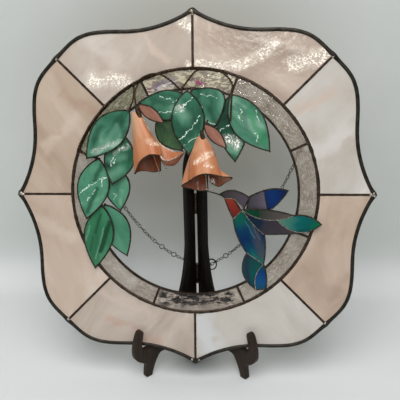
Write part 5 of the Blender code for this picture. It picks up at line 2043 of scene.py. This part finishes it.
@dataclass
class Chain:
    """Two half-chains of open steel links that hang from the loops and meet at a ring."""

    sag: float = 84.35 * MM  # The curve's own length scale
    starts: Flat = (1.7 * MM, 39.08 * MM)  # How far up each half of the curve begins, from the left
    steps: tuple[int, int] = (36, 33)  # Points of each half
    place: float = 17.5 * MM  # Where the ring is, left to right
    weave: float = 3.1 * MM  # How far the chain passes to each side of the ring
    hang: float = 5.2 * MM  # How far below the loops it hangs
    tube: float = 1.5 * MM  # Half the width that the chain takes
    link: float = 4.95 * MM  # Half the length of a link to its wire's middle
    wide: float = 1.75 * MM  # Half the width of a link to its wire's middle
    wire: float = 0.55 * MM  # Half the thickness of the wire
    pitch: float = 9.0 * MM  # Distance between links
    catch: float = 4.5 * MM  # How far the end links reach up to catch the loops
    # Where single round links take the place of others, left to right
    round: Place = (-42.3 * MM, -28.3 * MM, 37.6 * MM)
    round_link: float = 2.9 * MM  # Radius of a round link

    def half(self, side: int, loop: Vector) -> list[Vector]:
        """Points of one half, from the ring out to a loop.

        Args:
            side: -1 for the left, 1 for the right.
            loop: Middle of the right-hand loop.

        Returns:
            The points.
        """
        start, steps = self.starts[side > 0], self.steps[side > 0]
        reach = loop.x - side * self.place + start
        low, slope = math.sinh(start / self.sag), math.sinh(reach / self.sag)
        top = loop.z - self.hang - self.tube - self.sag * math.cosh(reach / self.sag)
        points = []
        for k in (0, 0.5, *range(1, steps + 1)):
            along = self.sag * math.asinh(low + (slope - low) * k / steps)
            x = side * (along - start)
            points.append(Vector((self.place + x, loop.y + self.weave * math.tanh(x / self.weave),
                                  top + self.sag * math.cosh(along / self.sag))))
        return points

    def path(self, panel: Matrix) -> list[Vector]:
        """Points along the chain's middle, from the left loop to the right one.

        Args:
            panel: Where the panel's own frame stands.

        Returns:
            The points.
        """
        loop = panel @ Vector((CORNER * MM, CORNER * MM, -RIM_DEPTH / 2 - 3.2 * MM))
        points = self.half(-1, loop)[::-1] + self.half(1, loop)[1:]
        ends = [points[i] + (points[i] - points[j]).normalized() * self.catch
                for i, j in ((0, 1), (-1, -2))]
        return [ends[0], *points, ends[1]]

    def links(self, path: Sequence[Vector]) -> Skin:
        """Every link of the chain, each a figure of eight with its halves square to each other.

        Args:
            path: Points along the chain's middle.

        Returns:
            Its shape.
        """
        skin = Skin()
        line = even_steps(path, self.pitch / 2)
        if len(line) % 2 == 0:
            line = even_steps(path, self.pitch / 2 * (len(line) - 1) / len(line))
        for i in range(1, len(line) - 1, 2):
            spot, along = line[i], direction(line, i)
            side = along.cross(Vector((0, 1, 0))).normalized()
            if any(abs(spot.x - x) < self.pitch / 2 for x in self.round):
                skin.tube([spot + (along * math.cos(a) + side * math.sin(a)) * self.round_link
                           for a in angles(24)], self.wire * 1.2, closed=True)
                continue
            turn = Matrix.Rotation(0.5 + 0.35 * math.sin(i * 1.05), 3, along)
            for way, out in ((1, turn @ side), (-1, turn @ along.cross(side))):
                skin.tube([spot + along * way * (self.link * (1 - math.cos(a)) / 2)
                           + out * self.wide * math.sin(a) for a in angles(18)],
                          self.wire, 6, closed=True)
            skin.drop(spot, (0.8, 0.8, 0.8), 0.1, 0.0, fine=5)
        return skin

    def ring(self, centre: Vector) -> Skin:
        """The ring at a place that the two halves meet at: one and a half turns of wire."""
        skin = Skin()
        skin.tube([centre + Vector((5.9 * math.cos(a), (k / 108 - 0.5) * 1.5,
                                    7.1 * math.sin(a))) * MM
                   for k, a in ((k, math.tau * k / 72 + 0.6) for k in range(109))], 0.8 * MM, 10)
        return skin

    def build(self, bench: Bench) -> None:
        """Args:
            bench: Where its pieces go.
        """
        path = self.path(bench.panel)
        lowest = min(path, key=lambda p: p.z)
        centre = Vector((self.place, path[0].y + self.weave, lowest.z))
        ring = bench.lay("chain_ring", self.ring(centre), [RING_METAL.material("ring_metal")],
                         Slot.CHAIN, "hanging_ring", on_panel=False)
        chain = bench.lay("chain", self.links(path), [CHAIN_METAL.material("chain_metal")],
                          Slot.CHAIN, "hanging_chain", on_panel=False)
        length = sum((b - a).length for a, b in zip(path, path[1:]))
        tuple(path[0])


# ---- easel

FOOT = [
    (15.5, 2), (19, 11), (28, 18), (42, 23.5), (54, 26), (63, 25.5), (70, 15.5), (75, 4),
]
TOE = [(75.5, 0.8), (76.3, 0), (83.7, 0), (85.2, 2)]
HOOK = [
    (84.5, 10), (84, 18.5), (89, 22.5), (94.5, 26.5), (98.8, 32), (100, 38), (99.8, 44), (98.4, 52),
    (96, 59), (93.6, 64.5), (90.5, 67), (87, 66.5), (85.4, 63), (86.5, 58), (88.2, 50), (88.6, 43),
]
SEAT = [(88.2, 41.5), (86.8, 40), (68.4, 40), (67.4, 41)]
BACK = [
    (66, 46), (55, 54), (42, 66), (31, 82), (23.4, 101), (18.2, 122), (15.2, 142),
]


@dataclass
class Easel:
    """Two dark boards on a vertical pair of hinges."""

    hinge_line: float  # Place of the hinge line, front to back
    thickness: float = 7 * MM  # Thickness of a board
    round: float = 1.1 * MM  # Radius of its rounded edges
    rear: float = 1.2 * MM  # Distance of a board's rear edge from the hinge line
    upright: float = 14 * MM  # Depth of an upright
    top: float = 275 * MM  # Height of the uprights
    crown: float = 35 * MM  # Height of their rounded ends
    # Names and middle heights of the hinges
    hinges: tuple[tuple[str, float], ...] = (("easel_hinge_upper", 205 * MM),
                                             ("easel_hinge_lower", 112 * MM))
    hinge_length: float = 26 * MM  # Length of a hinge

    def profile(self) -> list[Vector]:
        """Side view of a board: distance from the hinge line, and height."""
        line = [Vector((self.rear, 0, 0)), *millimetres([(15, 0)])]
        for points, steps in ((FOOT, 5), (TOE, 0), (HOOK, 4), (SEAT, 0), (BACK, 5)):
            corners = millimetres(points)
            line += smooth_curve(corners, steps) if steps else corners
        deep = self.upright - self.rear
        return line + millimetres([(14, 155)]) + [
            Vector((self.rear + deep * math.cos(a),
                    self.top - self.crown + self.crown * math.sin(a), 0))
            for a in (math.pi / 2 * k / 12 for k in range(13))]

    def ways(self, side: Side) -> tuple[Vector, Vector]:
        """Directions of a board: towards the viewer, and out from its inner face."""
        half = math.sqrt(0.5)
        return (Vector((side.value * half, -half, 0)), Vector((side.value * half, half, 0)))

    def rounding(self) -> list[Flat]:
        """Steps through a board's thickness, and how far its outline is drawn in at each."""
        steps = [(self.round * (1 - math.sin(a)), self.round * 0.75 * (1 - math.cos(a)))
                 for a in (math.pi / 2 * k / 4 for k in range(4, -1, -1))]
        return steps + [(self.thickness - level, tuck) for level, tuck in reversed(steps)]

    def board(self, side: Side) -> Skin:
        """One board, its edges rounded in steps.

        Args:
            side: Which board.

        Returns:
            Its shape, in the part's frame.
        """
        forward, outward = self.ways(side)
        line = self.profile()
        inward = []
        for i, point in enumerate(line):
            into = (point - line[i - 1]).normalized()
            out = (line[(i + 1) % len(line)] - point).normalized()
            normal = Vector((-into.y - out.y, into.x + out.x, 0)).normalized()
            inward.append(normal / max(0.6, normal.dot(Vector((-into.y, into.x, 0)))))
        skin = Skin()
        skin.loft([[forward * spot.x + outward * level
                    + Vector((0, self.hinge_line, max(spot.y, 0.0)))
                    for spot in (point + turn * tuck for point, turn in zip(line, inward))]
                   for level, tuck in self.rounding()])
        return skin

    def hinge(self, middle: float) -> Skin:
        """One small butt hinge: three knuckles on a pin, two leaves and their screws.

        Args:
            middle: Height of its middle.

        Returns:
            Its shape.
        """
        skin = Skin()
        base = Vector((0, self.hinge_line, middle))
        half, third, cut = self.hinge_length / 2, self.hinge_length / 3, 0.15 * MM
        for k in range(3):
            low, high = third * k - half, third * (k + 1) - half
            skin.tube([base + UP * z for z in (low + cut, low + 2.5 * cut,
                                               high - 2.5 * cut, high - cut)],
                      [1.3 * MM, 1.5 * MM, 1.5 * MM, 1.3 * MM], 16)
        skin.tube([base + UP * z for z in (-half, half)], 0.8 * MM, 12)
        for side in Side:
            forward, outward = self.ways(side)
            skin.slab(*([[base + forward * depth * MM + outward * n * MM + UP * z
                          for n in (0.3, 2.4, 4.5, 6.5)]
                         for z in (0.2 * MM - half, 0, half - 0.2 * MM)]
                        for depth in (0.5, 1.5)))
            for height in (-0.3, 0.3):
                head = base + outward * 4 * MM + UP * height * self.hinge_length
                skin.tube([head + forward * depth * MM for depth in (0.55, 0.2, 0.05)],
                          [1.2 * MM, 1.1 * MM, 0.7 * MM], 14)
        return skin

    def build(self, bench: Bench) -> None:
        """Lays the easel.

        Args:
            bench: Where its pieces go.
        """
        for side in Side:
            name = f"easel_board_{side.name.lower()}"
            bench.lay(f"{name}_wood", self.board(side), [WALNUT.material(name, side.value * 2.0)],
                      Slot.WOOD, name, on_panel=False)
        brass = [BRASS_METAL.material("hinge_metal", 1.0)]
        for name, middle in self.hinges:
            bench.lay(f"{name}_brass", self.hinge(middle), brass, Slot.BRASS, name,
                      on_panel=False)


# ---- stage, light and camera


@dataclass
class Stage:
    """Pale floor that sweeps up into a pale wall, soft lights, and the camera."""

    wall: float = 0.215  # Distance of the wall behind the part
    sweep: float = 0.05  # Radius of the curve between floor and wall
    half: float = 1.6  # Half the width of the stage
    # Its paint, with a painted shadow on the wall behind the panel
    paint: PaintFinish = PaintFinish(low=0xC6CBC8, high=0xD0D4D1, floor=0xE4E7E7,
                                     painted_shadow=0xACAAA2)

    def backdrop(self) -> None:
        """Floor and wall in one curved sheet."""
        line = [(-1.6, 0.0), (-0.4, 0.0)]
        line += [(self.wall - self.sweep + self.sweep * math.sin(a), self.sweep * (1 - math.cos(a)))
                 for a in (math.pi / 2 * k / 16 for k in range(17))]
        line += [(self.wall, 0.8), (self.wall, 1.6)]
        skin = Skin()
        skin.cover(skin.rows([[Vector((x * self.half, y, z)) for x in (-1, -0.33, 0.33, 1)]
                              for y, z in line]))
        data = skin.mesh("backdrop")
        if data.polygons[0].normal.z < 0:
            data.flip_normals()
        data.materials.append(self.paint.material("paint"))
        added("backdrop", data)

    def lamp(self, name: str, place: Place, aim: Place, size: float, power: float,
             colour: Colour) -> None:
        """One square soft light.

        Args:
            name: Its name.
            place: Where it stands.
            aim: Point that it faces.
            size: Length of its side.
            power: Its power in watts.
            colour: Its colour.
        """
        data = bpy.data.lights.new(name, "AREA")
        data.size = size
        data.energy = power
        data.color = linear(colour)[:3]
        lamp = added(name, data)
        lamp.location = place
        lamp.rotation_euler = (Vector(aim) - Vector(place)).to_track_quat("-Z", "Y").to_euler()

    def camera(self) -> None:
        """The camera."""
        data = bpy.data.cameras.new("camera")
        data.lens = 54
        data.sensor_width = 36
        made = added("camera", data)
        made.location = (0.05311, -0.64316, 0.45190)
        made.rotation_euler = Euler([math.radians(a) for a in (70.165, 1.108, 3.687)])
        bpy.context.scene.camera = made

    def build(self) -> None:
        """Sets the stage."""
        scene = bpy.context.scene
        scene.view_settings.view_transform = "Standard"
        scene.world = bpy.data.worlds.new("studio")
        scene.world.use_nodes = True
        Wiring(scene.world.node_tree).feed(scene.world.node_tree.nodes["Background"], {
            "Color": linear(0xECF0F0), "Strength": 0.38})
        self.backdrop()
        self.lamp("overhead", (0.0, -0.75, 1.4), (0, 0.05, 0.15), 1.1, 14.0, 0xFFFCFC)
        self.lamp("window", (-1.1, -0.75, 0.9), (0, 0, 0.25), 0.6, 1.6, 0xF6FAFF)
        self.lamp("sparkle", (0.1, -0.95, 0.78), (0.05, 0, 0.35), 0.12, 1.2, 0xFFFDF8)
        self.camera()


def save_sizes() -> None:
    """Updates the view layer."""
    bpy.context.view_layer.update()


def main() -> None:
    """Builds every piece in order."""
    logging.basicConfig(level=logging.INFO, format="%(name)s: %(message)s", stream=sys.stdout)
    low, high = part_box("seam_web")
    lean = Euler((math.pi / 2 - LEAN, 0, 0)).to_matrix().to_4x4()
    bench = Bench(Matrix.Translation((low + high) / 2) @ lean)
    hinge_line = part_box("easel_hinge_upper")[1].y - 1.5 * MM
    Stage().build()
    for assembly in (Chain(), Rim(), BorderGlass(), RingGlass(), SeamWeb(),
                     LeafSpray(LEFT_LEAVES, "left_spray_seams"),
                     LeafSpray(TOP_LEAVES, "top_spray_seams"), *FLOWERS, Hummingbird(), Vine(),
                     Easel(hinge_line)):
        assembly.build(bench)
        LOG.info("%s is built", type(assembly).__name__)
    save_sizes()
    LOG.info("%d pieces laid", len(bench.laid))


if __name__ == "__main__":
    main()
